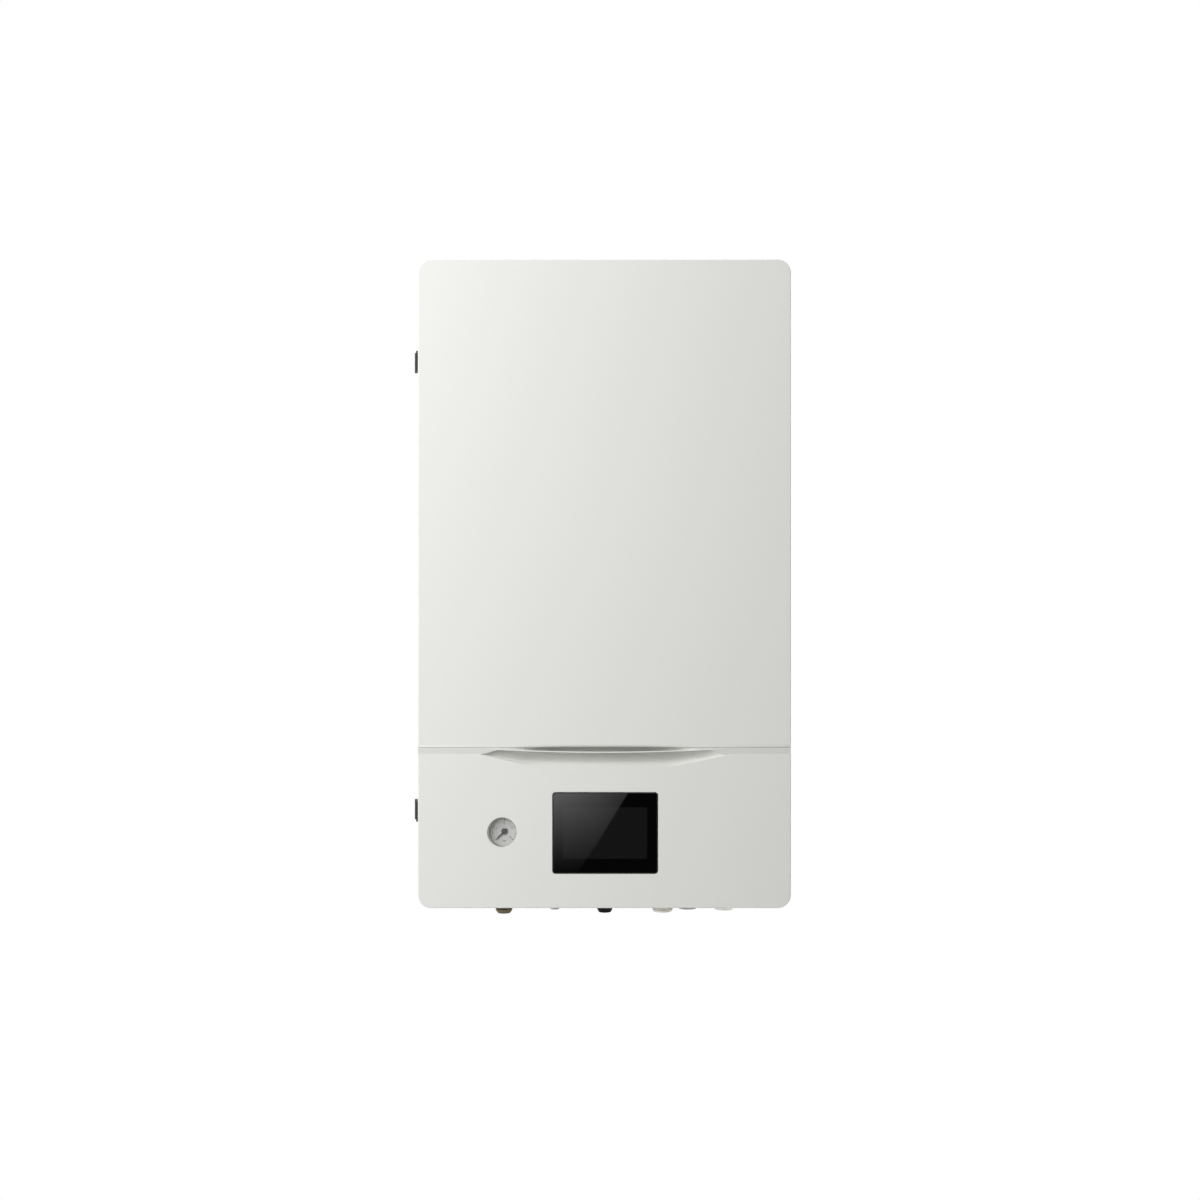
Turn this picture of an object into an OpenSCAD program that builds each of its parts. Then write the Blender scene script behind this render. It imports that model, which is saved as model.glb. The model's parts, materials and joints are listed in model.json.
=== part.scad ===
// Indoor unit of a split air-to-water heat pump, hung on a wall.
// X runs to the right, the front faces -Y, Z is up. The wall is the plane y = 0.
// The origin lies midway between the two wall bolts. Lengths are millimetres.

/* [Cabinet] */
// Width of the cabinet and the door
cab_w = 460; // [452:2:540]
// Height of the cabinet and the door
cab_h = 800; // [780:5:940]
// Depth from the wall to the front face
cab_d = 320; // [316:1:360]
// Radius of the four corners, seen from the front
corner_r = 16.5; // [10:0.5:20]
// Thickness of the cabinet sheet
sheet_t = 1.2; // [1:0.1:1.6]
// Width of the flange round the front opening
flange_w = 14; // [12:0.5:16]
// Gap between the wall and the back panel
wall_gap = 12; // [11:0.5:15]
// Height of the bent ends of the top and bottom panels
end_h = 30; // [26:1:40]
// Diameter of the cabinet screws
screw_d = 3.5; // [3:0.5:4]

/* [Wall rail] */
// Distance between the two wall bolts
bolt_span = 320; // [260:5:340]
// Diameter of the wall bolt holes
bolt_hole_d = 9; // [7:0.5:11]
// Distance from the cabinet top down to the wall bolts
rail_drop = 60; // [58:1:80]
// Width of the wall rail
rail_w = 380; // [370:5:400]
// Thickness of the wall rail
rail_t = 2.5; // [2:0.1:2.8]
// Distance between the two lower fixing holes
foot_span = 380; // [340:5:390]
// Diameter of the lower fixing holes
foot_hole_d = 7; // [5:0.5:9]

/* [Door] */
// Depth of the door
door_t = 24; // [22:0.5:26]
// Gap between the cabinet and the closed door
door_gap = 2; // [1.8:0.1:3]
// Wall of the moulded lower fascia
fascia_t = 2.5; // [2:0.1:3]
// Height of the upper panel's bottom edge
seam_z = 198.5; // [194:0.5:210]
// Height of the recessed ledge under the upper panel
ledge_h = 7.5; // [6:0.5:9]
// Depth of the recessed ledge
ledge_depth = 4; // [3:0.5:5]
// Width of the flat bottom of the finger scoop
scoop_w = 178; // [120:2:200]
// Width of the finger scoop at its top
scoop_top_w = 332; // [300:2:340]
// Height of the finger scoop
scoop_h = 16.5; // [14:0.5:18]
// Depth of the finger scoop
scoop_depth = 13; // [11:0.5:14]
// Width of the pocket above the trim strip
pocket_w = 154; // [120:2:200]
// Length of the trim strip along the top of the scoop
lip_w = 280; // [240:2:290]
// Thickness of the trim strip
lip_t = 1.2; // [1:0.1:1.6]
// Rise of the trim strip at its ends
lip_rise = 3.2; // [2:0.1:4.2]
// Thickness of the door insulation
insulation_t = 14; // [8:1:16]

/* [Hinges] */
// Height of each hinge
hinge_h = 25; // [22:1:34]
// Distance from the cabinet top to the middle of the upper hinge
hinge_top = 125; // [90:5:160]
// Distance from the cabinet bottom to the middle of the lower hinge
hinge_bottom = 119; // [90:1:150]
// Radius of the hinge barrel
barrel_r = 3; // [2.8:0.1:3.4]
// Diameter of the hinge pin
hinge_pin_d = 3; // [2.4:0.1:3.4]
// Length of each hinge leaf along the cabinet side
leaf_len = 20; // [16:1:21]

/* [Display] */
// Width of the touch screen glass
glass_w = 128.6; // [110:0.2:140]
// Height of the touch screen glass
glass_h = 98.9; // [80:0.1:104]
// Thickness of the touch screen glass
glass_t = 2; // [1.5:0.1:3]
// Sideways place of the touch screen
display_x = 1; // [-10:0.5:20]
// Height of the middle of the touch screen
display_z = 92.7; // [85:0.1:105]
// Clearance round the glass in the fascia
glass_gap = 1; // [0.8:0.1:1.5]
// Width of the picture area
lcd_w = 103.6; // [80:0.2:106]
// Height of the picture area
lcd_h = 63.4; // [50:0.2:66]

/* [Pressure gauge] */
// Diameter of the gauge hole in the fascia
gauge_hole_d = 36.6; // [34:0.2:40]
// Distance from the cabinet's left side to the gauge hole
gauge_in = 103.8; // [95:0.2:110]
// Height of the gauge hole
gauge_z = 93.7; // [80:0.1:110]
// Sideways offset of the gauge behind its hole
gauge_shift = 2.4; // [0:0.2:2.6]
// Outer diameter of the gauge case
gauge_d = 41; // [40:0.5:48]
// Length of the pointer from its axis to its tip
pointer_len = 14.6; // [12:0.2:15.4]

/* [Pipes] */
// Outer diameter of the water pipes
water_d = 22; // [18:1:23]
// Outer diameter of the gas pipe
gas_d = 15.9; // [12:0.1:16]
// Outer diameter of the liquid pipe
liquid_d = 9.5; // [8:0.1:12]
// Wall of the copper pipes
pipe_wall = 1; // [0.8:0.1:1.2]
// Diameter of the water connection threads
water_thread_d = 26.4; // [26:0.1:33]
// Diameter of the gas flare thread
gas_thread_d = 22.2; // [22:0.1:23]
// Diameter of the liquid flare thread
liquid_thread_d = 15.9; // [15:0.1:17.4]
// Distance from the wall to the row of connections
row_d = 165; // [160:1:168]
// Distance from the left side to the gas connection
gas_in = 98; // [96:1:106]
// Distance from the left side to the liquid connection
liquid_in = 165; // [158:1:172]
// Distance from the right side to the water outlet
outlet_in = 154; // [150:1:158]
// Distance from the right side to the relief drain
drain_in = 120; // [117:1:122]
// Distance from the right side to the water inlet
inlet_in = 72; // [70:1:76]

/* [Plate heat exchanger] */
// Width of the plates
plate_w = 111; // [100:1:116]
// Height of the plates
plate_h = 290; // [280:2:300]
// Depth of the stack of plates
stack_t = 65; // [50:1:66]
// Distance between the two columns of ports
port_dx = 50; // [50:1:56]
// Distance between the two rows of ports
port_dz = 240; // [236:1:246]
// Height of the middle of the exchanger
exchanger_z = 275; // [270:1:280]

/* [Circulation pump] */
// Distance between the pump's two ports
pump_len = 130; // [126:1:134]
// Height of the pump's axis
pump_z = 234; // [232:1:240]
// Diameter of the pump motor
motor_d = 92; // [80:1:96]
// Diameter of the impeller
impeller_d = 72; // [60:1:76]

/* [Backup heater] */
// Diameter of the heater vessel
heater_d = 108; // [96:1:112]
// Height of the heater vessel
heater_h = 260; // [230:5:265]
// Height of the bottom of the heater vessel
heater_z = 430; // [426:1:436]
// Wall of the heater vessel
heater_wall = 1.5; // [1:0.1:2]
// Travel of the thermal cut-out's reset button
button_travel = 1.5; // [1:0.1:2]

/* [Expansion vessel] */
// Diameter of the expansion vessel
vessel_d = 330; // [290:5:340]
// Thickness of the expansion vessel
vessel_t = 88; // [70:2:96]
// Height of the middle of the expansion vessel
vessel_z = 600; // [594:1:606]

/* [Control box] */
// Width of the control box
box_w = 292; // [250:2:296]
// Height of the control box
box_h = 240; // [200:5:250]
// Gap between the control box and the pipes behind it
box_gap = 16.1; // [10:0.1:18]
// Length of the main board
board_w = 180; // [150:2:186]
// Height of the main board
board_h = 153; // [130:1:160]
// Width of one contactor
contactor_w = 46; // [40:1:50]
// Height of one contactor
contactor_h = 60; // [50:1:64]
// Width of one terminal
terminal_w = 12.8; // [10:0.1:13]
// Height of the terminals
terminal_h = 34; // [30:1:40]
// Number of terminals
terminals = 14; // [8:1:14]
// Outer diameter of the cables
cable_d = 5; // [3:0.5:6]

/* [Hidden] */
$fn = 64;

// Clearances: seat between fixed faces, run round shafts, past for what ends a cut
seat = 0.2;
run = 0.05;
past = 1;
min_r = 0.6;

left = -cab_w / 2;
right = cab_w / 2;
rail_z = cab_h - rail_drop;
door_back = cab_d - door_t;
chassis_front = door_back - door_gap;
back_front = wall_gap + sheet_t;

gas_x = left + gas_in;
liquid_x = left + liquid_in;
outlet_x = right - outlet_in;
drain_x = right - drain_in;
inlet_x = right - inlet_in;
outlet_d = row_d + 30;

gauge_x = left + gauge_in + gauge_shift;
water_r = water_d / 2;
gas_r = gas_d / 2;
liquid_r = liquid_d / 2;
capillary_r = 1.5;
vessel_pipe_r = 6;
drain_r = 11.9;
water_bend = water_d;
gas_bend = gas_d * 1.25;
socket_depth = 8;

function unit(v) = v / norm(v);
function turn(a, b) = acos(max(-1, min(1, unit(a) * unit(b))));

// Everything is drawn from the cabinet's bottom edge and then moved to the wall bolts
module placed() {
  translate([0, 0, -rail_z]) children();
}

// Flat shape, seen from the front, made solid between two distances from the wall
module deep(d0, d1) {
  translate([0, -d0, 0]) rotate([90, 0, 0]) linear_extrude(d1 - d0) children();
}

module block(x0, x1, d0, d1, z0, z1) {
  translate([x0, -d1, z0]) cube([x1 - x0, d1 - d0, z1 - z0]);
}

module rod_x(d, z, r, x0, x1) {
  translate([x0, -d, z]) rotate([0, 90, 0]) cylinder(r = r, h = x1 - x0);
}

module rod_y(x, z, r, d0, d1) {
  translate([x, -d0, z]) rotate([90, 0, 0]) cylinder(r = r, h = d1 - d0);
}

module rod_z(x, d, r, z0, z1) {
  translate([x, -d, z0]) cylinder(r = r, h = z1 - z0);
}

module hex_z(x, d, across, z0, z1) {
  translate([x, -d, z0]) cylinder(r = across / sqrt(3), h = z1 - z0, $fn = 6);
}

module rounded(w, h, r) {
  square([w - 2 * r, h], center = true);
  square([w, h - 2 * r], center = true);
  for (x = [-1, 1], y = [-1, 1])
    translate([x * (w / 2 - r), y * (h / 2 - r)]) circle(r);
}

// Outline of the cabinet from the front, drawn in by inset
module outline(inset) {
  translate([0, cab_h / 2]) rounded(cab_w - 2 * inset, cab_h - 2 * inset, max(corner_r - inset, min_r));
}

module zone(x0, x1, z0, z1) {
  translate([x0, z0]) square([x1 - x0, z1 - z0]);
}

// Cross-section of a pipe, which is solid where it has no wall
module ring(r, wall) {
  if (wall == 0) circle(r);
  else difference() {
    circle(r);
    circle(r - wall);
  }
}

// Points the Z axis along d from p, with d square to the axes of the cabinet
module along(p, d) {
  z = unit(d);
  u = unit(cross(abs(z.z) < 0.9 ? [0, 0, 1] : [1, 0, 0], z));
  v = cross(z, u);
  multmatrix([[u.x, v.x, z.x, p.x], [u.y, v.y, z.y, p.y], [u.z, v.z, z.z, p.z]]) children();
}

// Square-cornered route of points, bent with one radius into a pipe
module pipe(points, r, wall, bend_r) {
  last = len(points) - 1;
  for (i = [0:1:last - 1]) {
    run_v = points[i + 1] - points[i];
    t0 = i == 0 ? 0 : bend_r;
    t1 = i == last - 1 ? 0 : bend_r;
    along(points[i] + unit(run_v) * t0, run_v)
      linear_extrude(norm(run_v) - t0 - t1) ring(r, wall);
  }
  for (i = [1:1:last - 1]) {
    a = unit(points[i] - points[i - 1]);
    b = unit(points[i + 1] - points[i]);
    c = points[i] - a * bend_r + b * bend_r;
    z = cross(-b, a);
    multmatrix([[-b.x, a.x, z.x, c.x], [-b.y, a.y, z.y, c.y], [-b.z, a.z, z.z, c.z]])
      rotate_extrude(angle = 90) translate([bend_r, 0]) ring(r, wall);
  }
}

// Cabinet

rail_x = rail_w / 2;
lip_d0 = 6.5;
lip_d1 = 9;
lip_top = rail_z + 32;

module wall_rail() {
  color("silver") placed() difference() {
    union() {
      block(-rail_x, rail_x, 0, rail_t, rail_z - 20, rail_z + 20);
      block(-rail_x, rail_x, 0, lip_d1, rail_z + 17.5, rail_z + 20);
      block(-rail_x, rail_x, lip_d0, lip_d1, rail_z + 17.5, lip_top);
    }
    for (s = [-1, 1]) rod_y(s * bolt_span / 2, rail_z, bolt_hole_d / 2, -past, rail_t + past);
  }
}

side_screw_d = 20;
back_flange = 16;
boss_r = 12;
foot_z = 36;
hook_x = rail_x - 20;

module side_screws_holes(r) {
  for (z = [100, cab_h / 2, cab_h - 100]) rod_x(side_screw_d, z, r, left - past, right + past);
}

module back_panel() {
  color("gainsboro") placed() difference() {
    union() {
      difference() {
        deep(wall_gap, wall_gap + back_flange) outline(sheet_t + seat);
        deep(back_front, wall_gap + back_flange + past) outline(2 * sheet_t + seat);
      }
      block(-hook_x, hook_x, 3.5, wall_gap, lip_top + seat, lip_top + 2.7);
      block(-hook_x, hook_x, 3.5, 6, rail_z + 22, lip_top + 2.7);
      for (s = [-1, 1]) rod_y(s * foot_span / 2, foot_z, boss_r, 0, wall_gap);
    }
    side_screws_holes(screw_d / 2 + run);
    for (s = [-1, 1]) {
      rod_y(s * foot_span / 2, foot_z, foot_hole_d / 2, -past, back_front + past);
      rod_y(s * foot_span / 2, foot_z, boss_r - sheet_t, sheet_t, back_front + past);
    }
  }
}

module shell_part(x0, x1, z0, z1) {
  deep(0, chassis_front) intersection() {
    difference() {
      outline(0);
      outline(sheet_t);
    }
    zone(x0, x1, z0, z1);
  }
  deep(chassis_front - sheet_t, chassis_front) intersection() {
    difference() {
      outline(0);
      outline(sheet_t + flange_w);
    }
    zone(x0, x1, z0, z1);
  }
}

module side_panel(x0, x1) {
  color("whitesmoke") placed() difference() {
    shell_part(x0, x1, end_h, cab_h - end_h);
    side_screws_holes(screw_d / 2 + run);
  }
}

module left_side_panel() {
  side_panel(left, 0);
}

module right_side_panel() {
  side_panel(0, right);
}

module top_panel() {
  color("whitesmoke") placed() shell_part(left, right, cab_h - end_h, cab_h);
}

thread_gap = 1;
gland_r = 11.3;
gland_thread_r = 10;
union_r = 14.5;

module bottom_plate() {
  color("whitesmoke") placed() difference() {
    shell_part(left, right, 0, end_h);
    rod_z(gas_x, row_d, gas_thread_d / 2 + thread_gap, -past, sheet_t + past);
    rod_z(liquid_x, row_d, liquid_thread_d / 2 + thread_gap, -past, sheet_t + past);
    rod_z(display_x, row_d, gland_thread_r + run, -past, sheet_t + past);
    rod_z(outlet_x, outlet_d, union_r + thread_gap, -past, sheet_t + past);
    rod_z(drain_x, row_d, drain_r + thread_gap, -past, sheet_t + past);
    rod_z(inlet_x, row_d, union_r + thread_gap, -past, sheet_t + past);
  }
}

seal_w = 10;

module door_seal() {
  color("dimgray") placed() deep(chassis_front, door_back - 0.3) difference() {
    outline(sheet_t + 1.2);
    outline(sheet_t + 1.2 + seal_w);
  }
}

module cabinet_screws() {
  grip = 2 * sheet_t + seat + 1.5;
  color("silver") placed() for (s = [-1, 1], z = [100, cab_h / 2, cab_h - 100])
    translate([s * right, -side_screw_d, z]) rotate([0, s * 90, 0]) {
      translate([0, 0, -grip]) cylinder(d = screw_d, h = grip);
      difference() {
        cylinder(r = screw_d, h = 1.8);
        translate([0, 0, 1]) cylinder(r = screw_d / 2, h = past, $fn = 6);
      }
    }
}

// Hinges

axis_x = left - barrel_r - 0.3;
axis_d = door_back - door_gap / 2;
leaf_x0 = left - 2.3;
arm = barrel_r + 0.6;
knuckle = hinge_h / 3;
hinge_z = [hinge_bottom, cab_h - hinge_top];

module leaf_arm(side, z0, z1) {
  difference() {
    union() {
      rod_z(axis_x, axis_d, barrel_r, z0, z1);
      translate([axis_x, -axis_d - (side > 0 ? arm + past : 0), z0])
        cube([left - axis_x - 1, arm + past, z1 - z0]);
    }
    rod_z(axis_x, axis_d, hinge_pin_d / 2 + run, z0 - past, z1 + past);
  }
}

module leaf_plate(side, z) {
  d0 = side > 0 ? axis_d + arm : axis_d - arm - leaf_len;
  difference() {
    block(leaf_x0, left, d0, d0 + leaf_len, z - hinge_h / 2, z + hinge_h / 2);
    for (s = [-1, 1])
      rod_x(d0 + leaf_len / 2, z + s * hinge_h / 4, 1.8, leaf_x0 - past, leaf_x0 + past);
  }
}

module hinge_leaves() {
  color([0.12, 0.12, 0.12]) placed() for (z = hinge_z) {
    leaf_plate(-1, z);
    leaf_arm(-1, z - hinge_h / 2, z - knuckle / 2 - 0.15);
    leaf_arm(-1, z + knuckle / 2 + 0.15, z + hinge_h / 2);
  }
}

module door_hinge_leaves() {
  color([0.12, 0.12, 0.12]) placed() for (z = hinge_z) {
    leaf_plate(1, z);
    leaf_arm(1, z - knuckle / 2 + 0.15, z + knuckle / 2 - 0.15);
  }
}

module hinge_pins() {
  color("silver") placed() for (z = hinge_z)
    rod_z(axis_x, axis_d, hinge_pin_d / 2, z - hinge_h / 2, z + hinge_h / 2);
}

// Magnet catches

catch_h = 40;
catch_x1 = right - sheet_t - flange_w - seat;
catch_x0 = catch_x1 - 16;
catch_z = [seam_z + 112, cab_h - 120];
strike_t = 1.1;

module magnet_catches() {
  color([0.15, 0.15, 0.15]) placed() for (z = catch_z) {
    block(catch_x0, catch_x1, chassis_front - 18, door_back - strike_t - 0.3,
      z - catch_h / 2, z + catch_h / 2);
    block(catch_x1 - past, right - sheet_t - seat, chassis_front - 18, chassis_front - 15,
      z - catch_h / 2, z + catch_h / 2);
  }
}

module strike_plates() {
  color("silver") placed() for (z = catch_z)
    block(catch_x0, catch_x1, door_back - strike_t, door_back, z - catch_h / 2 - 2, z + catch_h / 2 + 2);
}

// Instruments

bracket_d1 = chassis_front - sheet_t - seat;
bracket_d0 = bracket_d1 - 1.5;
bracket_x = right - sheet_t - seat;
instrument_top = display_z + 60;
display_body_w = lcd_w + 8;
display_body_h = lcd_h + 12;
gauge_back = bracket_d1 - 14;

module instrument_bracket() {
  color("silver") placed() difference() {
    union() {
      block(-bracket_x, bracket_x, bracket_d0, bracket_d1, sheet_t + flange_w + 6, instrument_top);
      block(-bracket_x, bracket_x, bracket_d0 - 12, bracket_d0, instrument_top - 1.5, instrument_top);
    }
    block(display_x - display_body_w / 2 - seat, display_x + display_body_w / 2 + seat,
      bracket_d0 - past, bracket_d1 + past,
      display_z - display_body_h / 2 - seat, display_z + display_body_h / 2 + seat);
    rod_y(gauge_x, gauge_z, gauge_d / 2 - 2, bracket_d0 - past, bracket_d1 + past);
  }
}

glass_r = 3;
housing_wall = 2.5;
glass_back = cab_d - glass_t;
lcd_t = 3;

module display_housing() {
  color([0.1, 0.1, 0.1]) placed() translate([display_x, 0, display_z]) difference() {
    union() {
      deep(bracket_d1, glass_back) rounded(glass_w - 0.6, glass_h - 0.6, glass_r);
      deep(bracket_d1 - 20, bracket_d1) rounded(display_body_w, display_body_h, glass_r);
    }
    deep(bracket_d1 + housing_wall, glass_back + past)
      rounded(glass_w - 2 * housing_wall, glass_h - 2 * housing_wall, 1);
    deep(bracket_d1 - 20 + housing_wall, glass_back)
      rounded(display_body_w - 2 * housing_wall, display_body_h - 2 * housing_wall, 1);
  }
}

module display_glass() {
  color([0.03, 0.03, 0.03]) placed() translate([display_x, 0, display_z])
    deep(glass_back, cab_d) rounded(glass_w, glass_h, glass_r);
}

module display_screen() {
  color([0.08, 0.08, 0.08]) placed() translate([display_x, 0, display_z]) {
    deep(glass_back - 0.1 - lcd_t, glass_back - 0.1)
      rounded(glass_w - 2 * housing_wall - 0.4, lcd_h + 4, 1);
    deep(bracket_d1 + housing_wall + 0.1, glass_back - 0.1 - lcd_t) rounded(lcd_w - 20, lcd_h - 20, 1);
  }
}

gauge_wall = 1.5;
gauge_front = cab_d - fascia_t - 0.5;
dial_d = gauge_front - 6;
needle_d = dial_d + 1.2;
gauge_r = gauge_d / 2;
stem_r = 5;

module gauge_case() {
  color([0.55, 0.55, 0.53]) placed() difference() {
    union() {
      rod_y(gauge_x, gauge_z, gauge_r, bracket_d1, gauge_front);
      rod_y(gauge_x, gauge_z, gauge_r - 2 - seat, gauge_back, bracket_d1);
    }
    rod_y(gauge_x, gauge_z, gauge_r - gauge_wall, dial_d - 1.2, gauge_front + past);
    rod_y(gauge_x, gauge_z, 1 + run, dial_d - 8, dial_d);
    rod_y(gauge_x, gauge_z, capillary_r + run, gauge_back - past, gauge_back + socket_depth);
  }
}

module gauge_dial() {
  color("white") placed() difference() {
    rod_y(gauge_x, gauge_z, gauge_r - gauge_wall - 0.1, dial_d - 1, dial_d);
    rod_y(gauge_x, gauge_z, 1 + run, dial_d - 2, dial_d + past);
  }
}

module gauge_glass() {
  color([0.8, 0.85, 0.85, 0.4]) placed()
    rod_y(gauge_x, gauge_z, gauge_r - gauge_wall - 0.1, gauge_front - 2, gauge_front - 0.6);
}

// The pointer rests on the zero stop, down and to the left, and turns clockwise
module gauge_needle() {
  color([0.1, 0.1, 0.1]) placed() {
    rod_y(gauge_x, gauge_z, 1, dial_d - 7, needle_d + 0.7);
    rod_y(gauge_x, gauge_z, 3.5, needle_d - 0.4, needle_d + 1.1);
    translate([gauge_x, 0, gauge_z]) rotate([0, -135, 0]) deep(needle_d, needle_d + 0.7)
      polygon([[-1.4, -6], [1.4, -6], [1, 0], [0.4, pointer_len], [-0.4, pointer_len], [-1, 0]]);
  }
}

tube_d = bracket_d0 - 60;
tube_z = 58;

module gauge_tube() {
  color("peru") placed() pipe([
    [gauge_x, -gauge_back - socket_depth, gauge_z], [gauge_x, -tube_d, gauge_z],
    [gauge_x, -tube_d, tube_z], [inlet_x, -tube_d, tube_z],
    [inlet_x, -row_d - strainer_r - 1, tube_z]], capillary_r, 0.8, 10);
}

// Electrics

box_x0 = left + 15;
box_x1 = box_x0 + box_w;
box_z0 = 170;
box_z1 = box_z0 + box_h;
box_d1 = bracket_d0 - 3;
box_d0 = outlet_d + water_r + box_gap;
cover_t = 1;
// Depth inside the box and its cover
box_room = box_d1 - 2 * cover_t - box_d0;
vent_w = 80;
vent_step = 8;
vents = 10;
hole_step = 48;

function hole_x(i) = box_x0 + 45 + i * hole_step;
hole_d = box_d0 + cover_t + box_room * 0.45;
hole_r = 6;

module control_box() {
  color("lightgray") placed() difference() {
    union() {
      block(box_x0, box_x1, box_d0, box_d1 - cover_t, box_z0, box_z1);
      for (z = [box_z0 + 30, box_z1 - 30])
        block(left + sheet_t + seat, box_x0 + 1, box_d0 + 8, box_d0 + 10, z - 12, z + 12);
    }
    block(box_x0 + cover_t, box_x1 - cover_t, box_d0 + cover_t, box_d1, box_z0 + cover_t, box_z1 - cover_t);
    for (i = [0:4]) rod_z(hole_x(i), hole_d, hole_r, box_z0 - past, box_z0 + cover_t + past);
  }
}

module control_box_cover() {
  color("gainsboro") placed() {
    difference() {
      block(box_x0, box_x1, box_d1 - cover_t, box_d1, box_z0, box_z1);
      for (i = [1:vents])
        block(box_x0 + 30, box_x0 + 30 + vent_w, box_d1 - cover_t - past, box_d1 + past,
          box_z1 - 22 - i * vent_step, box_z1 - 19 - i * vent_step);
    }
    for (x = [box_x0 + 8, box_x1 - 8], z = [box_z0 + 8, box_z1 - 8]) rod_y(x, z, 3.5, box_d1, box_d1 + 1.8);
  }
}

board_t = 1.6;
board_x0 = box_x0 + 12;
board_x1 = board_x0 + board_w;
board_z1 = box_z1 - 12;
board_z0 = board_z1 - board_h;
board_d0 = box_d0 + cover_t + 8;
board_d1 = board_d0 + board_t;

// Depth left over the board for what stands on it
board_room = box_d1 - cover_t - board_d1;

module main_board() {
  relay_w = board_w / 10;
  color("darkgreen") placed() {
    block(board_x0, board_x1, board_d0, board_d1, board_z0, board_z1);
    for (x = [board_x0 + 8, board_x1 - 8], z = [board_z0 + 8, board_z1 - 8])
      rod_y(x, z, 3, box_d0 + cover_t, board_d0);
    block(board_x0 + 12, board_x0 + 52, board_d1, board_d1 + board_room * 0.45,
      board_z1 - 48, board_z1 - 12);
    block(board_x1 - 82, board_x1 - 58, board_d1, board_d1 + 4, board_z0 + 25, board_z0 + 49);
    for (i = [1:4]) {
      x = board_x1 - 8 - i * (relay_w + 6);
      block(x, x + relay_w, board_d1, board_d1 + board_room * 0.28, board_z1 - 28, board_z1 - 14);
    }
    for (i = [0:2]) rod_y(board_x0 + 20 + i * 22, board_z0 + 30, 8, board_d1, board_d1 + board_room * 0.52);
  }
}

terminal_z0 = box_z0 + 22;
terminal_x0 = box_x0 + 16;
terminal_step = terminal_w + seat;
terminal_d1 = box_d0 + cover_t + box_room / 2;

module terminal_block() {
  mid_z = terminal_z0 + terminal_h / 2;
  color([0.75, 0.75, 0.7]) placed() for (i = [0:terminals - 1]) {
    x = terminal_x0 + i * terminal_step;
    difference() {
      block(x, x + terminal_w, box_d0 + cover_t, terminal_d1, terminal_z0, terminal_z0 + terminal_h);
      for (s = [-1, 1])
        rod_y(x + terminal_w / 2, mid_z + s * terminal_h / 3, 3, terminal_d1 - 8, terminal_d1 + past);
      block(x - past, x + terminal_w + past, terminal_d1 - 4, terminal_d1 + past, mid_z - 3, mid_z + 3);
    }
  }
}

contactor_x = board_x1 + 43;
contactor_z0 = box_z0 + 90;

module contactors() {
  half = contactor_w / 2;
  color([0.85, 0.85, 0.82]) placed() for (i = [0:1]) {
    z = contactor_z0 + i * (contactor_h + 8);
    base_d1 = box_d0 + cover_t + box_room * 0.55;
    block(contactor_x - half, contactor_x + half, box_d0 + cover_t, base_d1, z, z + contactor_h);
    block(contactor_x - half + 8, contactor_x + half - 8, base_d1, base_d1 + box_room / 4,
      z + 12, z + contactor_h - 12);
  }
}

// Cables from the holes in the bottom of the control box to the pump, the flow sensor, the
// thermal cut-out and the display
cable_r = cable_d / 2;
cable_bend = 2 * cable_r;
cable_z = [box_z0 - 8 - cable_r, box_z0 - 16 - 2 * cable_r];
cable_x = box_x1 + 3 + cable_d;

module cable(points) {
  pipe(points, cable_r, 0, cable_bend);
}

module wiring() {
  pump_exit = [inlet_x - motor_d / 2, -motor_d1 + 10, pump_z - 26];
  pump_x = cable_x + 6;
  sensor_exit = [inlet_x, -row_d - sensor_reach, (sensor_z[0] + sensor_z[1]) / 2];
  sensor_d = hole_d - 3 * cable_d;
  display_exit = [display_x - 35, 20 - bracket_d1, display_z + 28];
  color([0.1, 0.1, 0.1]) placed() {
    cable([pump_exit, [pump_x, pump_exit.y, pump_exit.z], [pump_x, pump_exit.y, cable_z[0]],
      [hole_x(4), pump_exit.y, cable_z[0]], [hole_x(4), -hole_d, cable_z[0]],
      [hole_x(4), -hole_d, contactor_z0]]);
    cable([sensor_exit, [inlet_x, -sensor_d, sensor_exit.z], [inlet_x, -sensor_d, cable_z[0]],
      [hole_x(3), -sensor_d, cable_z[0]], [hole_x(3), -hole_d, cable_z[0]],
      [hole_x(3), -hole_d, terminal_z0]]);
    cable([[heater_x - cutout_ear, -hole_d, cutout_z], [cable_x, -hole_d, cutout_z],
      [cable_x, -hole_d, cable_z[1]], [hole_x(2), -hole_d, cable_z[1]], [hole_x(2), -hole_d, terminal_z0]]);
    cable([display_exit, [display_exit.x, -hole_d, display_exit.z], [hole_x(1), -hole_d, display_exit.z],
      [hole_x(1), -hole_d, terminal_z0]]);
  }
}

cutout_z = heater_z + 90;
cutout_r = 12;
cutout_ear = cutout_r + 4;
heater_y = outlet_d;
heater_front = heater_y + heater_d / 2;
heater_x = inlet_x - 8;
button_r = 3;

module thermal_cutout() {
  color([0.2, 0.2, 0.2]) placed() difference() {
    union() {
      rod_y(heater_x, cutout_z, cutout_r, heater_front + 0.3, heater_front + 14);
      block(heater_x - cutout_ear, heater_x + cutout_ear, heater_front + 2, heater_front + 4,
        cutout_z - 5, cutout_z + 5);
      for (s = [-1, 1]) block(heater_x + s * 6 - 3, heater_x + s * 6 + 3,
        heater_front + 5, heater_front + 7, cutout_z + cutout_r - 2, cutout_z + cutout_r + 8);
    }
    rod_y(heater_x, cutout_z, button_r + run, heater_front + 7, heater_front + 14 + past);
  }
}

// Pushed in towards the wall to reset the cut-out
module reset_button() {
  color("red") placed()
    rod_y(heater_x, cutout_z, button_r,
      heater_front + 7.3 + button_travel, heater_front + 16 + button_travel);
}

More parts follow.
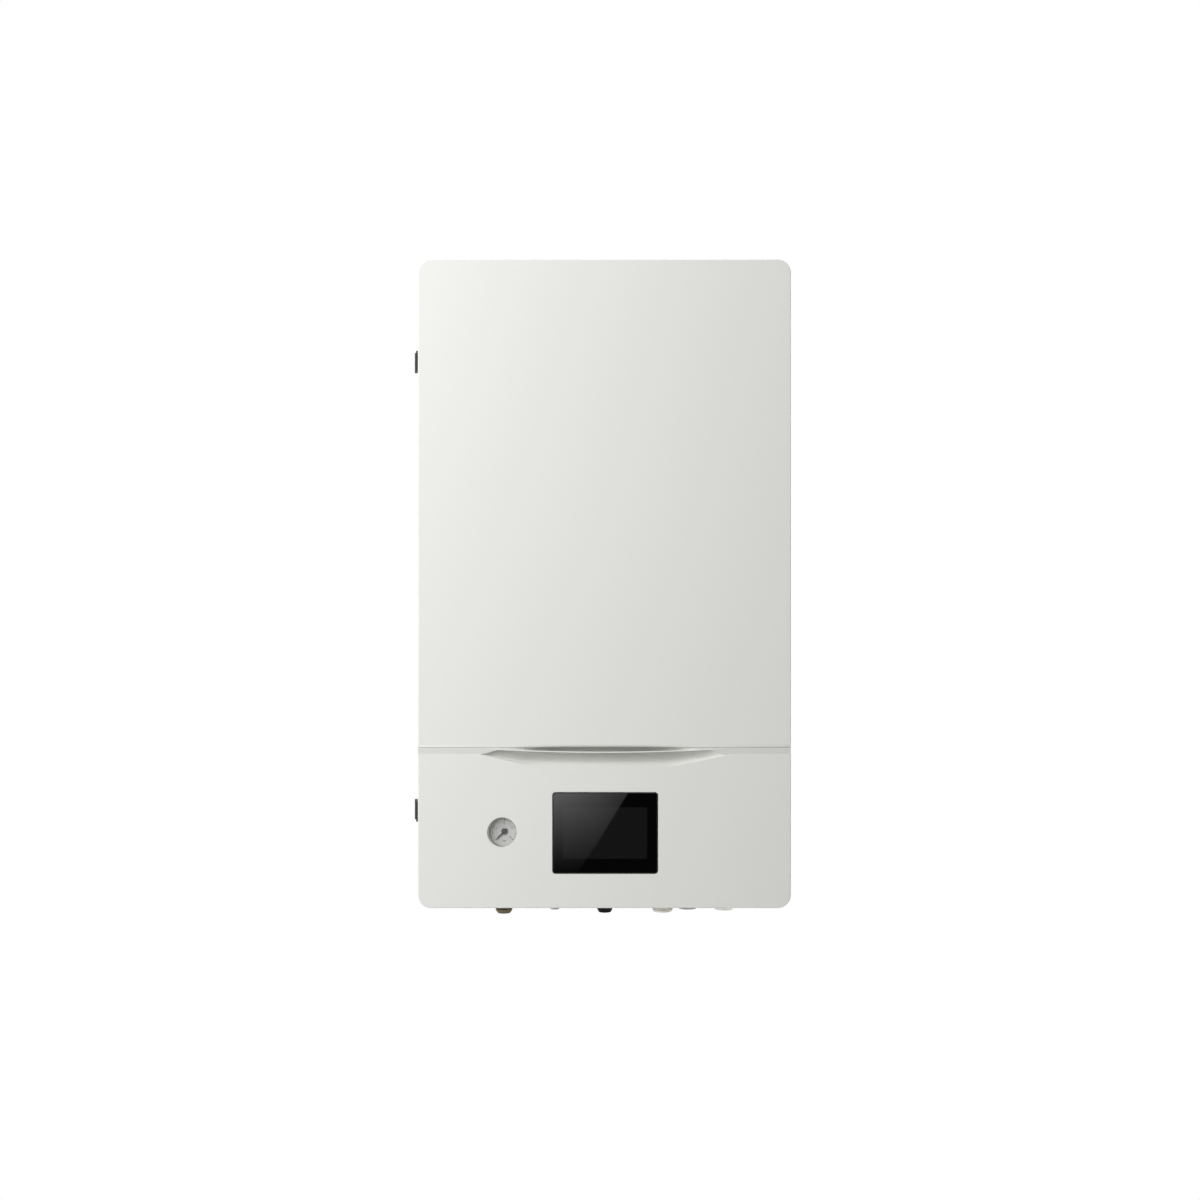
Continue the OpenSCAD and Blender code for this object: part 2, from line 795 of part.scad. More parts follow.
module cable_gland() {
  color([0.07, 0.07, 0.07]) placed() difference() {
    union() {
      rod_z(display_x, row_d, gland_thread_r, -8, 10);
      hex_z(display_x, row_d, 2 * gland_r - 1, -9, -seat);
      rod_z(display_x, row_d, gland_r, -26, -9);
      translate([display_x, -row_d, -33.5]) cylinder(r1 = 8, r2 = gland_r, h = 7.5);
    }
    rod_z(display_x, row_d, 6, -34, 11);
  }
}

// Brackets, each a separate piece of folded sheet

exchanger_x = gas_x + port_dx / 2;
exchanger_d0 = 40;
exchanger_d1 = exchanger_d0 + stack_t;
clamp_w = 18;

module component_brackets() {
  color("silver") placed() {
    for (s = [-1, 1]) block(exchanger_x - 40, exchanger_x + 40, back_front + seat, exchanger_d0 - seat,
      exchanger_z + s * 90 - 12, exchanger_z + s * 90 + 12);
    for (z = [heater_z + 30, heater_z + heater_h - 84]) difference() {
      union() {
        rod_z(heater_x, heater_y, heater_d / 2 + 2.2, z, z + clamp_w);
        block(heater_x, right - sheet_t - seat, heater_y - 1, heater_y + 1, z, z + clamp_w);
      }
      rod_z(heater_x, heater_y, heater_d / 2 + seat, z - past, z + clamp_w + past);
    }
    block(left + sheet_t + seat, right - sheet_t - seat, box_d0 + 2, box_d0 + 22,
      box_z0 - 2, box_z0 - seat);
    difference() {
      block(-60, 60, back_front + seat, vessel_d0 + 30,
        vessel_z - vessel_d / 2 - 14, vessel_z - vessel_d / 2 + 40);
      rod_y(0, vessel_z, vessel_d / 2 + 0.3, back_front - past, vessel_d0 + 60);
      block(-58, 58, back_front + 2, vessel_d0 + 60, vessel_z - vessel_d / 2 - 12, vessel_z);
      rod_z(vessel_port_x, vessel_d0 + vessel_t / 2, vessel_pipe_r + 4, vessel_z - vessel_d, vessel_z);
    }
  }
}

// Connections through the bottom plate, the left ones for refrigerant and the right ones for water

nut_h = 6;

module lock_nuts() {
  color("goldenrod") placed() {
    lock_nut(gas_x, row_d, gas_thread_d / 2, 27);
    lock_nut(liquid_x, row_d, liquid_thread_d / 2, 21);
    lock_nut(display_x, row_d, gland_thread_r, 26);
    lock_nut(outlet_x, outlet_d, union_r, 36);
    lock_nut(inlet_x, row_d, union_r, 36);
  }
}

module lock_nut(x, d, r, across) {
  difference() {
    hex_z(x, d, across, sheet_t + seat, sheet_t + seat + nut_h);
    rod_z(x, d, r + run, 0, sheet_t + nut_h + past);
  }
}

module flare_union(x, thread_r, across, bottom, pipe_r) {
  difference() {
    union() {
      rod_z(x, row_d, thread_r, bottom + 3, 22);
      translate([x, -row_d, bottom]) cylinder(r1 = thread_r - 3, r2 = thread_r, h = 3);
      hex_z(x, row_d, across, -13, -seat);
    }
    rod_z(x, row_d, pipe_r - pipe_wall, bottom - past, 23);
    rod_z(x, row_d, pipe_r + run, 22 - socket_depth, 23);
  }
}

gas_end = -34.7;
liquid_end = -29.7;
outlet_end = -26.8;
inlet_end = -29.7;
drain_end = -28.6;

module flare_unions() {
  color([0.62, 0.55, 0.35]) placed() {
    flare_union(gas_x, gas_thread_d / 2, 27, gas_end, gas_r);
    flare_union(liquid_x, liquid_thread_d / 2, 21, liquid_end, liquid_r);
  }
}

module water_union(x, d, bottom) {
  difference() {
    union() {
      rod_z(x, d, water_thread_d / 2, bottom, -12);
      hex_z(x, d, 34, -12, -seat);
      rod_z(x, d, union_r, -past, 22);
    }
    rod_z(x, d, water_r - pipe_wall, bottom - past, 23);
    rod_z(x, d, water_r + run, 22 - socket_depth, 23);
  }
}

module water_unions() {
  color("silver") placed() {
    water_union(outlet_x, outlet_d, outlet_end);
    water_union(inlet_x, row_d, inlet_end);
  }
}

// Refrigerant side

port_z = [exchanger_z - port_dz / 2, exchanger_z + port_dz / 2];
port_end = 125;
water_port_x = gas_x + port_dx;
pipe_start = port_end - socket_depth;

module exchanger_port(x, z, r) {
  difference() {
    rod_y(x, z, r + 3, exchanger_d1, port_end);
    rod_y(x, z, r + run, pipe_start, port_end + past);
    rod_y(x, z, r - pipe_wall, exchanger_d1 - past, pipe_start + past);
  }
}

module plate_heat_exchanger() {
  color("silver") placed() {
    translate([exchanger_x, 0, exchanger_z]) {
      deep(exchanger_d0, exchanger_d0 + 2) rounded(plate_w, plate_h, 18);
      deep(exchanger_d0 + 2, exchanger_d1 - 2) rounded(plate_w - 3, plate_h - 3, 17);
      deep(exchanger_d1 - 2, exchanger_d1) rounded(plate_w, plate_h, 18);
    }
    exchanger_port(gas_x, port_z[1], gas_r);
    exchanger_port(gas_x, port_z[0], liquid_r);
    for (z = port_z) exchanger_port(water_port_x, z, water_r);
  }
}

gas_side_x = left + 40;
gas_low_z = 62;

module gas_pipe() {
  color("peru") placed() pipe([
    [gas_x, -pipe_start, port_z[1]], [gas_x, -row_d, port_z[1]], [gas_side_x, -row_d, port_z[1]],
    [gas_side_x, -row_d, gas_low_z], [gas_x, -row_d, gas_low_z],
    [gas_x, -row_d, 22 - socket_depth]], gas_r, pipe_wall, gas_bend);
}

liquid_low_z = 105;

module liquid_pipe() {
  color("peru") placed() pipe([
    [gas_x, -pipe_start, port_z[0]], [gas_x, -row_d, port_z[0]], [gas_x, -row_d, liquid_low_z],
    [liquid_x, -row_d, liquid_low_z], [liquid_x, -row_d, 22 - socket_depth]], liquid_r, 0.8, 14);
}

// Water side, from the inlet up to the pump

strainer_r = 17;
strainer_z = [22 + seat, 84];
sensor_z = [84 + seat, 138];
tee_z = [138 + seat, pump_z - pump_len / 2 + socket_depth - 0.1];
branch_z = 152;
sensor_reach = 24;

module strainer() {
  z0 = strainer_z[0];
  color("goldenrod") placed() difference() {
    union() {
      rod_z(inlet_x, row_d, strainer_r - 2, z0, strainer_z[1]);
      hex_z(inlet_x, row_d, 2 * strainer_r, z0, z0 + 12);
      hex_z(inlet_x, row_d, 2 * strainer_r, strainer_z[1] - 12, strainer_z[1]);
      rod_y(inlet_x, tube_z, 6, row_d, row_d + strainer_r + 6);
      translate([inlet_x, -row_d, tube_z]) rotate([0, 135, 0]) {
        cylinder(r = 12, h = 32);
        translate([0, 0, 26]) cylinder(r = 14, h = 10, $fn = 6);
      }
    }
    rod_z(inlet_x, row_d, water_r - pipe_wall, z0 - past, strainer_z[1] + past);
    rod_y(inlet_x, tube_z, capillary_r + run, row_d, row_d + strainer_r + 7);
    translate([inlet_x, -row_d, tube_z]) rotate([0, 135, 0]) cylinder(r = 9, h = 30);
  }
}

module flow_sensor() {
  color([0.1, 0.1, 0.1]) placed() difference() {
    union() {
      rod_z(inlet_x, row_d, 15, sensor_z[0], sensor_z[1]);
      block(inlet_x - 13, inlet_x + 13, row_d, row_d + sensor_reach, sensor_z[0] + 14, sensor_z[1] - 14);
    }
    rod_z(inlet_x, row_d, water_r - pipe_wall, sensor_z[0] - past, sensor_z[1] + past);
  }
}

relief_x = drain_x;

module return_tee() {
  color("goldenrod") placed() difference() {
    union() {
      rod_z(inlet_x, row_d, water_r, tee_z[0], tee_z[1]);
      hex_z(inlet_x, row_d, 32, tee_z[0], tee_z[0] + 5);
      rod_y(inlet_x, branch_z, 9, row_d - 24, row_d);
      rod_x(row_d, branch_z, 9, relief_x + relief_r + seat, inlet_x);
    }
    rod_z(inlet_x, row_d, water_r - pipe_wall, tee_z[0] - past, tee_z[1] + past);
    rod_y(inlet_x, branch_z, vessel_pipe_r + run, row_d - 24 - past, row_d - 12);
    rod_y(inlet_x, branch_z, vessel_pipe_r - pipe_wall, row_d - 13, row_d);
    rod_x(row_d, branch_z, 6, relief_x + relief_r - past, inlet_x);
  }
}

volute_r = impeller_d / 2 + 10;
volute_d0 = row_d - 22;
volute_d1 = row_d + 24;
rotor_r = 19;
pump_port_r = 17;
pump_low = pump_z - pump_len / 2;
pump_high = pump_z + pump_len / 2;

module pump_housing() {
  color([0.18, 0.2, 0.2]) placed() difference() {
    union() {
      rod_y(inlet_x, pump_z, volute_r, volute_d0, volute_d1);
      rod_z(inlet_x, row_d, pump_port_r, pump_low, pump_high);
      hex_z(inlet_x, row_d, 2 * pump_port_r + 5, pump_low, pump_low + 16);
      hex_z(inlet_x, row_d, 2 * pump_port_r + 5, pump_high - 16, pump_high);
    }
    rod_y(inlet_x, pump_z, volute_r - 5, volute_d0 + 5, volute_d1 - 4);
    rod_y(inlet_x, pump_z, 12, volute_d1 - 5, volute_d1 + past);
    rod_z(inlet_x, row_d, water_r - pipe_wall, pump_low - past, pump_high + past);
    for (z = [pump_low, pump_high])
      rod_z(inlet_x, row_d, water_r + run, z - socket_depth, z + socket_depth);
  }
}

motor_d0 = volute_d1;
motor_d1 = bracket_d0 - 6;
motor_r = motor_d / 2;

module pump_motor() {
  color([0.1, 0.25, 0.2]) placed() difference() {
    union() {
      rod_y(inlet_x, pump_z, motor_r, motor_d0, motor_d0 + 30);
      rod_y(inlet_x, pump_z, motor_r - 3, motor_d0 + 30, motor_d1 - 20);
      translate([inlet_x, 0, pump_z]) deep(motor_d1 - 20, motor_d1) rounded(motor_d, motor_d - 6, 10);
    }
    rod_y(inlet_x, pump_z, rotor_r + 1, motor_d0 + 8, motor_d1 - 24);
    rod_y(inlet_x, pump_z, 12, motor_d0 - past, motor_d0 + 3);
    rod_y(inlet_x, pump_z, shaft_r + run, motor_d0, motor_d1 - 12);
  }
}

shaft_r = 5;

module pump_rotor() {
  color("dimgray") placed() {
    rod_y(inlet_x, pump_z, shaft_r, volute_d0 + 10, motor_d1 - 14);
    rod_y(inlet_x, pump_z, rotor_r, motor_d0 + 9, motor_d1 - 26);
    rod_y(inlet_x, pump_z, impeller_d / 2, volute_d0 + 8, volute_d0 + 11);
    for (i = [0:6]) translate([inlet_x, 0, pump_z]) rotate([0, i * 360 / 7, 0])
      block(3, impeller_d / 2 - 1, volute_d0 + 10, volute_d0 + 24, -1, 1);
  }
}

cross_z = pump_high + 34;
down_x = water_port_x + 60;

module pump_pipe() {
  color("peru") placed() pipe([
    [water_port_x, -pipe_start, port_z[0]], [water_port_x, -row_d, port_z[0]],
    [down_x, -row_d, port_z[0]], [down_x, -row_d, cross_z], [inlet_x, -row_d, cross_z],
    [inlet_x, -row_d, pump_high - socket_depth + 0.1]], water_r, pipe_wall, water_bend);
}

elbow_r = 0.75 * water_d;
riser_d = outlet_d - 2 * elbow_r - 1;
heater_port = 10;

module exchanger_pipe() {
  color("peru") placed() pipe([
    [water_port_x, -pipe_start, port_z[1]], [water_port_x, -riser_d, port_z[1]],
    [heater_x, -riser_d, port_z[1]], [heater_x, -heater_y, port_z[1]],
    [heater_x, -heater_y, heater_z - heater_port + socket_depth]], water_r, pipe_wall, elbow_r);
}

supply_x = outlet_x - 2 * water_bend - 2;
supply_z = heater_z + heater_h - 30;
supply_low_z = 90;
side_port_x = heater_x - heater_d / 2 - 14;

module supply_pipe() {
  color("peru") placed() pipe([
    [side_port_x + socket_depth, -heater_y, supply_z], [supply_x, -heater_y, supply_z],
    [supply_x, -heater_y, supply_low_z], [outlet_x, -outlet_d, supply_low_z],
    [outlet_x, -outlet_d, 22 - socket_depth]], water_r, pipe_wall, water_bend);
}

// Backup heater

heater_r = heater_d / 2;
shoulder = 12;
vent_x = heater_x - 36;
flange_r = 18;

module heater_profile(r, z0, z1) {
  polygon([[0, z0], [r - shoulder, z0], [r, z0 + shoulder], [r, z1 - shoulder],
    [r - shoulder, z1], [0, z1]]);
}

module heater_vessel() {
  top = heater_z + heater_h;
  color("silver") placed() difference() {
    union() {
      translate([heater_x, -heater_y, 0]) rotate_extrude() heater_profile(heater_r, heater_z, top);
      rod_z(heater_x, heater_y, water_r + 3, heater_z - heater_port, heater_z + 1);
      rod_x(heater_y, supply_z, water_r + 3, side_port_x, heater_x - heater_r + 6);
      rod_z(vent_x, heater_y, 7, top - 1, top + 8);
    }
    translate([heater_x, -heater_y, 0]) rotate_extrude()
      heater_profile(heater_r - heater_wall, heater_z + heater_wall, top - heater_wall);
    rod_z(heater_x, heater_y, water_r - pipe_wall, heater_z - heater_port - past, heater_z + 3);
    rod_z(heater_x, heater_y, water_r + run, heater_z - heater_port - past,
      heater_z - heater_port + socket_depth);
    rod_x(heater_y, supply_z, water_r - pipe_wall, side_port_x - past, heater_x - heater_r + 12);
    rod_x(heater_y, supply_z, water_r + run, side_port_x - past, side_port_x + socket_depth);
    rod_z(vent_x, heater_y, 4, top - 3, top + 9);
    rod_z(heater_x, heater_y, flange_r - 4 + run, top - 3, top + 1);
  }
}

loop_r = 7;
loop_gap = 8;
loop_z = heater_z + 50;
rod_r = 2.8;

// Screwed head with three heating loops that hang from it
module heater_element() {
  top = heater_z + heater_h;
  color("silver") placed() {
    rod_z(heater_x, heater_y, flange_r - 4, top - 6, top);
    hex_z(heater_x, heater_y, 2 * flange_r, top + seat, top + 12);
    rod_z(heater_x, heater_y, flange_r - 4, top, top + 24);
    for (i = [-1:1]) {
      for (s = [-1, 1]) rod_z(heater_x + s * loop_r, heater_y + i * loop_gap, rod_r, loop_z, top - 6);
      translate([heater_x, -heater_y - i * loop_gap, loop_z]) rotate([90, 0, 0]) rotate([0, 0, 180])
        rotate_extrude(angle = 180) translate([loop_r, 0]) circle(rod_r);
    }
  }
}

module air_vent() {
  top = heater_z + heater_h;
  color("goldenrod") placed() difference() {
    union() {
      rod_z(vent_x, heater_y, 11, top + 8.2, top + 52);
      hex_z(vent_x, heater_y, 24, top + 8.2, top + 16);
      rod_z(vent_x, heater_y, 4, top + 52, top + 58);
      rod_z(vent_x, heater_y, 6, top + 56, top + 64);
    }
    rod_z(vent_x, heater_y, 7.2, top + 7, top + 9);
    rod_z(vent_x, heater_y, 9, top + 14, top + 48);
  }
}

// Pressure relief

relief_r = 14;
relief_end = row_d + 35;

module relief_valve() {
  color("goldenrod") placed() difference() {
    union() {
      rod_y(relief_x, branch_z, relief_r, row_d - 14, row_d + 16);
      rod_y(relief_x, branch_z, 10, row_d + 16, relief_end);
      rod_z(relief_x, row_d, 10, branch_z - 26, branch_z);
    }
    rod_y(relief_x, branch_z, 2 + run, row_d + 20, relief_end + past);
    rod_z(relief_x, row_d, 7, branch_z - 27, branch_z);
    rod_x(row_d, branch_z, 6, relief_x, relief_x + relief_r + past);
  }
}

knob_d0 = relief_end + 0.4;

module relief_knob() {
  color("darkred") placed() {
    rod_y(relief_x, branch_z, 2, row_d + 22, knob_d0 + 1);
    difference() {
      rod_y(relief_x, branch_z, 13, knob_d0, knob_d0 + 15);
      for (i = [0:7]) translate([relief_x, 0, branch_z]) rotate([0, i * 45, 0])
        rod_y(14.5, 0, 3, knob_d0 - past, knob_d0 + 16);
    }
  }
}

module drain_pipe() {
  color("gainsboro") placed() difference() {
    union() {
      rod_z(relief_x, row_d, drain_r, drain_end, 0);
      rod_z(relief_x, row_d, drain_r - 0.7, -past, branch_z - 18);
    }
    rod_z(relief_x, row_d, drain_r - 1.6, drain_end - past, branch_z - 26.2);
    rod_z(relief_x, row_d, 10 + run, branch_z - 26.2, branch_z);
  }
}

// Expansion vessel

vessel_d0 = back_front + 0.4;
vessel_r = vessel_d / 2;
vessel_port_x = 40;
vessel_low = vessel_z - vessel_r;

module vessel_profile(r, half) {
  polygon([[0, -half], [r - 34, -half], [r - 12, -half + 10], [r - 2, -half + 30], [r - 2, half - 30],
    [r - 12, half - 10], [r - 34, half], [0, half]]);
}

module expansion_vessel() {
  half = vessel_t / 2;
  mid = vessel_d0 + half;
  color("firebrick") placed() difference() {
    union() {
      translate([0, -mid, vessel_z]) rotate([90, 0, 0]) rotate_extrude() vessel_profile(vessel_r, half);
      rod_y(0, vessel_z, vessel_r, mid - 4, mid + 4);
      rod_z(vessel_port_x, mid, 10, vessel_low - 12, vessel_low + 20);
      rod_y(0, vessel_z, 8, mid + half, mid + half + 6);
    }
    translate([0, -mid, vessel_z]) rotate([90, 0, 0]) rotate_extrude()
      vessel_profile(vessel_r - 1.4, half - 1.4);
    rod_z(vessel_port_x, mid, vessel_pipe_r - pipe_wall, vessel_low - 13, vessel_low + 20);
    rod_z(vessel_port_x, mid, vessel_pipe_r + run, vessel_low - 13, vessel_low - 12 + socket_depth);
  }
}

module vessel_pipe() {
  mid = vessel_d0 + vessel_t / 2;
  color("peru") placed() pipe([
    [vessel_port_x, -mid, vessel_low - 12 + socket_depth], [vessel_port_x, -mid, branch_z],
    [inlet_x, -mid, branch_z], [inlet_x, -row_d + 24 - socket_depth, branch_z]],
    vessel_pipe_r, pipe_wall, 18);
}

// Door

seam_gap = 1;
ledge_z = seam_z - ledge_h;
ledge_top = seam_z - seam_gap;
ledge_d = cab_d - ledge_depth;
scoop_z = ledge_z - scoop_h;
scoop_bend_z = ledge_z - 3;
scoop_back = cab_d - scoop_depth;
lip_half = lip_w / 2;
scoop_half = scoop_top_w / 2;
lip_steps = 8;
lip_front = cab_d - 0.6;

// Room for the frame behind the walls that run along the seam
module frame_slot(side, z0, z1) {
  deep(door_back - past, door_back + frame_t + seat) zone(left + side, right - side, z0, z1);
}

module upper_front_panel() {
  color("whitesmoke") placed() {
    difference() {
      deep(door_back, cab_d) intersection() {
        outline(0);
        zone(left, right, seam_z, cab_h);
      }
      deep(door_back - past, cab_d - sheet_t) intersection() {
        outline(sheet_t);
        zone(left, right, seam_z + sheet_t, cab_h);
      }
      frame_slot(sheet_t, seam_z - past, seam_z + sheet_t + past);
    }
  }
}

// Points along the lower edge of the trim strip, which bows down in the middle
function lip_edge(up) = [for (i = [-lip_steps:lip_steps])
  [lip_half * i / lip_steps, ledge_z + up + lip_rise * pow(i / lip_steps, 2)]];

module lip_shape() {
  upper = lip_edge(lip_t);
  polygon(concat(lip_edge(0), [for (i = [len(upper) - 1:-1:0]) upper[i]]));
}

// Outline of the scoop, seen from the front, with the points that close its top
module scoop_shape(grow, top) {
  polygon(concat([[scoop_half + grow, ledge_z], [scoop_w / 2 + grow, scoop_z - grow],
    [-scoop_w / 2 - grow, scoop_z - grow], [-scoop_half - grow, ledge_z]], top));
}

// Slopes back from the front face at the scoop's bottom edge and then runs straight up
module scoop_wedge(grow) {
  rotate([90, 0, 90]) translate([0, 0, -scoop_top_w]) linear_extrude(2 * scoop_top_w)
    polygon([[-cab_d - past, scoop_z - grow], [-cab_d, scoop_z - grow], [grow - scoop_back, scoop_bend_z],
      [grow - scoop_back, seam_z], [-cab_d - past, seam_z]]);
}

module lower_fascia() {
  color("whitesmoke") placed() difference() {
    union() {
      difference() {
        deep(door_back, cab_d) intersection() {
          outline(0);
          zone(left, right, 0, ledge_z);
        }
        deep(door_back - past, cab_d - fascia_t) intersection() {
          outline(fascia_t);
          zone(left, right, 0, ledge_z - fascia_t);
        }
      }
      deep(ledge_d - fascia_t, ledge_d) zone(left, right, ledge_z - past, ledge_top);
      deep(scoop_back - fascia_t, ledge_d)
        zone(-scoop_half - fascia_t, scoop_half + fascia_t, ledge_z - past, ledge_top);
      intersection() {
        deep(door_back + 4, cab_d) scoop_shape(fascia_t, []);
        scoop_wedge(fascia_t);
      }
    }
    frame_slot(fascia_t, ledge_z - fascia_t - past, ledge_z + past);
    intersection() {
      deep(door_back, cab_d + past) {
        scoop_shape(0, lip_edge(0));
        zone(-pocket_w / 2, pocket_w / 2, ledge_z - past, seam_z);
      }
      scoop_wedge(0);
    }
    translate([display_x, 0, display_z]) deep(cab_d - fascia_t - past, cab_d + past)
      rounded(glass_w + 2 * glass_gap, glass_h + 2 * glass_gap, glass_r + glass_gap);
    rod_y(left + gauge_in, gauge_z, gauge_hole_d / 2, cab_d - fascia_t - past, cab_d + past);
  }
}

// Trim strip along the top of the finger scoop, set into the pocket behind it
module grip_lip() {
  color("whitesmoke") placed() {
    deep(ledge_d, lip_front) lip_shape();
    deep(scoop_back + seat, ledge_d) intersection() {
      lip_shape();
      zone(seat - pocket_w / 2, pocket_w / 2 - seat, ledge_z, seam_z);
    }
  }
}

frame_t = 1.5;
frame_w = 15;

module door_frame() {
  color("gainsboro") placed() deep(door_back, door_back + frame_t) {
    difference() {
      intersection() {
        outline(sheet_t + seat);
        zone(left, right, ledge_z + seat, cab_h);
      }
      outline(sheet_t + frame_w);
    }
    difference() {
      intersection() {
        outline(fascia_t + seat);
        zone(left, right, 0, ledge_z + seat);
      }
      outline(sheet_t + frame_w);
    }
  }
}

module door_insulation() {
  color([0.25, 0.25, 0.25]) placed() deep(cab_d - sheet_t - seat - insulation_t, cab_d - sheet_t - seat)
    intersection() {
      outline(12);
      zone(left, right, seam_z + 10, cab_h);
    }
}

wall_rail();
back_panel();
left_side_panel();
right_side_panel();
top_panel();
bottom_plate();
door_seal();
cabinet_screws();
hinge_leaves();
hinge_pins();
magnet_catches();
instrument_bracket();
display_housing();
display_glass();
display_screen();
gauge_case();
gauge_dial();
gauge_glass();
gauge_tube();
control_box();
control_box_cover();
main_board();
terminal_block();
contactors();
wiring();
thermal_cutout();
cable_gland();
component_brackets();
lock_nuts();
plate_heat_exchanger();
gas_pipe();
liquid_pipe();
flare_unions();
water_unions();
strainer();
flow_sensor();
return_tee();
pump_housing();
pump_motor();
pump_pipe();
exchanger_pipe();
supply_pipe();
heater_vessel();
heater_element();
air_vent();
relief_valve();
drain_pipe();
expansion_vessel();
vessel_pipe();
upper_front_panel();
lower_fascia();
grip_lip();
door_frame();
door_insulation();
door_hinge_leaves();
strike_plates();
gauge_needle();
pump_rotor();
reset_button();
relief_knob();
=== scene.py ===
"""Indoor unit of a split heat pump, hung on a wall: its looks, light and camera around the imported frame."""
import json
import math

import bmesh
import bpy
from bmesh.types import BMEdge, BMFace, BMVert
from mathutils import Matrix, Vector

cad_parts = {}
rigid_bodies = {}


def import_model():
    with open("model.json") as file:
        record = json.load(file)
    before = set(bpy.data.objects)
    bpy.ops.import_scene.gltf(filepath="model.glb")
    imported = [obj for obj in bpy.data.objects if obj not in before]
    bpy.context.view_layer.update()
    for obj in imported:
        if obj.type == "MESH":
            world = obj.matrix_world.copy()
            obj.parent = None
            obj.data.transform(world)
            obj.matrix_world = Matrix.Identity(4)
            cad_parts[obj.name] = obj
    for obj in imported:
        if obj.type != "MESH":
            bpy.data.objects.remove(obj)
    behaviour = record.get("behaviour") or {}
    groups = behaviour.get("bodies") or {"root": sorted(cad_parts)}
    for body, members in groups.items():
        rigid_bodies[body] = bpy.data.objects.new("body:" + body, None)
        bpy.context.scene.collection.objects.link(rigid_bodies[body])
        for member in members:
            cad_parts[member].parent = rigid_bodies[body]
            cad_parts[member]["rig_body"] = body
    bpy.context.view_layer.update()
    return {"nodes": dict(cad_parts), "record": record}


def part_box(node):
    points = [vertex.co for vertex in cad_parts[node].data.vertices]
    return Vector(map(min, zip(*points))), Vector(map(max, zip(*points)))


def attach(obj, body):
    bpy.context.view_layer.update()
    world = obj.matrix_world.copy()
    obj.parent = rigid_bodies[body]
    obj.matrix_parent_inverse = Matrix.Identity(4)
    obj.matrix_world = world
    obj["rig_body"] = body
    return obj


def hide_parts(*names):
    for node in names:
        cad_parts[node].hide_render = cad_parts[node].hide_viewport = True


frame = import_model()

scene = bpy.context.scene
mm = 0.001

# Shapes are drawn in millimetres: x to the right, -y towards the room, z up from the cabinet's bottom edge
bottom_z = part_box("bottom_plate")[0].z
PLACE = Matrix.Translation((0, 0, bottom_z)) @ Matrix.Scale(mm, 4)

# Cabinet and door
CAB_W, CAB_H, CAB_D = 460, 800, 320
LEFT, RIGHT = -CAB_W / 2, CAB_W / 2
CORNER_R, RIM_R = 16.5, 1.1
DOOR_BACK = 296
SHEET_T, FASCIA_T = 1.2, 2.5
SEAM_Z, LEDGE_Z, LEDGE_TOP, LEDGE_D = 198.5, 189.9, 198.2, 319.7
COVE_H, COVE_DROP, COVE_HALF, COVE_FADE = 3, 2.4, 118, 85

# Finger scoop, the pocket behind it and the trim strip over it
SCOOP_Z, SCOOP_HALF, SCOOP_FLAT_HALF, SCOOP_DEPTH = 174.5, 155, 88, 23
POCKET_HALF, POCKET_DEPTH, POCKET_FADE = 115, 20, 62
LIP_Z, LIP_HALF, LIP_T, LIP_RISE, LIP_FRONT = LEDGE_Z + 1.6, 163, 1.2, 5.6, 320

# Touch screen
GLASS_X, GLASS_Z = 1, 92.7
GLASS_W, GLASS_H, GLASS_T, GLASS_R, GLASS_GAP = 128.6, 98.9, 2, 3, 1
PICTURE_W, PICTURE_H = 103.6, 63.4

# Pressure gauge, whose scale runs clockwise from its zero, in degrees and bar
HOLE_X, HOLE_R = -126.2, 18.3
GAUGE_X, GAUGE_Z, DIAL_R = -123.8, 93.7, 18.9
DIAL_D, NEEDLE_D, LENS_D = 311, 312.2, 315
ZERO_BEARING, SCALE_SWEEP, FULL_SCALE = 225, 270, 4

# Connections under the cabinet
ROW_D, OUTLET_D = 165, 195
GAS_X, LIQUID_X, GLAND_X, OUTLET_X, INLET_X = -132, -65, 1, 76, 158


# Modelling helpers

TO_ROOM = Matrix.Rotation(math.pi / 2, 4, "X")
TO_RIGHT = Matrix.Rotation(math.pi / 2, 4, "Y")
AXIS_TURN = {"z": Matrix(), "y": TO_ROOM, "x": TO_RIGHT}
EDGE_ANGLE = math.radians(30)
SHARP_ANGLE = math.radians(32)


def bevel(bm, geom, width, segments, affect):
    bmesh.ops.bevel(bm, geom=geom, offset=width, offset_type="OFFSET", segments=segments,
                    profile=0.5, affect=affect, clamp_overlap=True, material=-1)


def soften(bm, width, segments=2, edges=None):
    """Rounds the edges that are given, or else all those where faces meet at an angle."""
    if edges is None:
        edges = [e for e in bm.edges if len(e.link_faces) == 2 and e.calc_face_angle(0) > EDGE_ANGLE]
    bevel(bm, edges, width, segments, "EDGES")


def round_corners(bm, corners, radius, steps=8):
    bevel(bm, corners, radius, steps, "VERTICES")


def move(bm, matrix):
    """Moves or turns a whole shape."""
    bmesh.ops.transform(bm, matrix=matrix, verts=bm.verts)


def only(geom, kind):
    """Those of an operator's results that are of one kind, each once and in their order."""
    return list(dict.fromkeys(part for part in geom if isinstance(part, kind)))


def lies_at(part, axis, value, within=0.01):
    """Whether all corners of an edge or face lie at one value along an axis."""
    return all(abs(getattr(v.co, axis) - value) < within for v in part.verts)


def rectangle(x0, x1, z0, z1, d):
    """A single upright face at distance d from the wall, and its corners from the lower left round."""
    bm = bmesh.new()
    corners = [bm.verts.new(p) for p in ((x0, -d, z0), (x1, -d, z0), (x1, -d, z1), (x0, -d, z1))]
    bm.faces.new(corners)
    return bm, corners


def thicken(bm, faces, depth):
    """Pulls faces towards the room by depth and leaves a closed solid."""
    out = bmesh.ops.extrude_face_region(bm, geom=faces)["geom"]
    bmesh.ops.translate(bm, vec=(0, -depth, 0), verts=only(out, BMVert))
    bmesh.ops.recalc_face_normals(bm, faces=bm.faces)
    return only(out, BMFace)


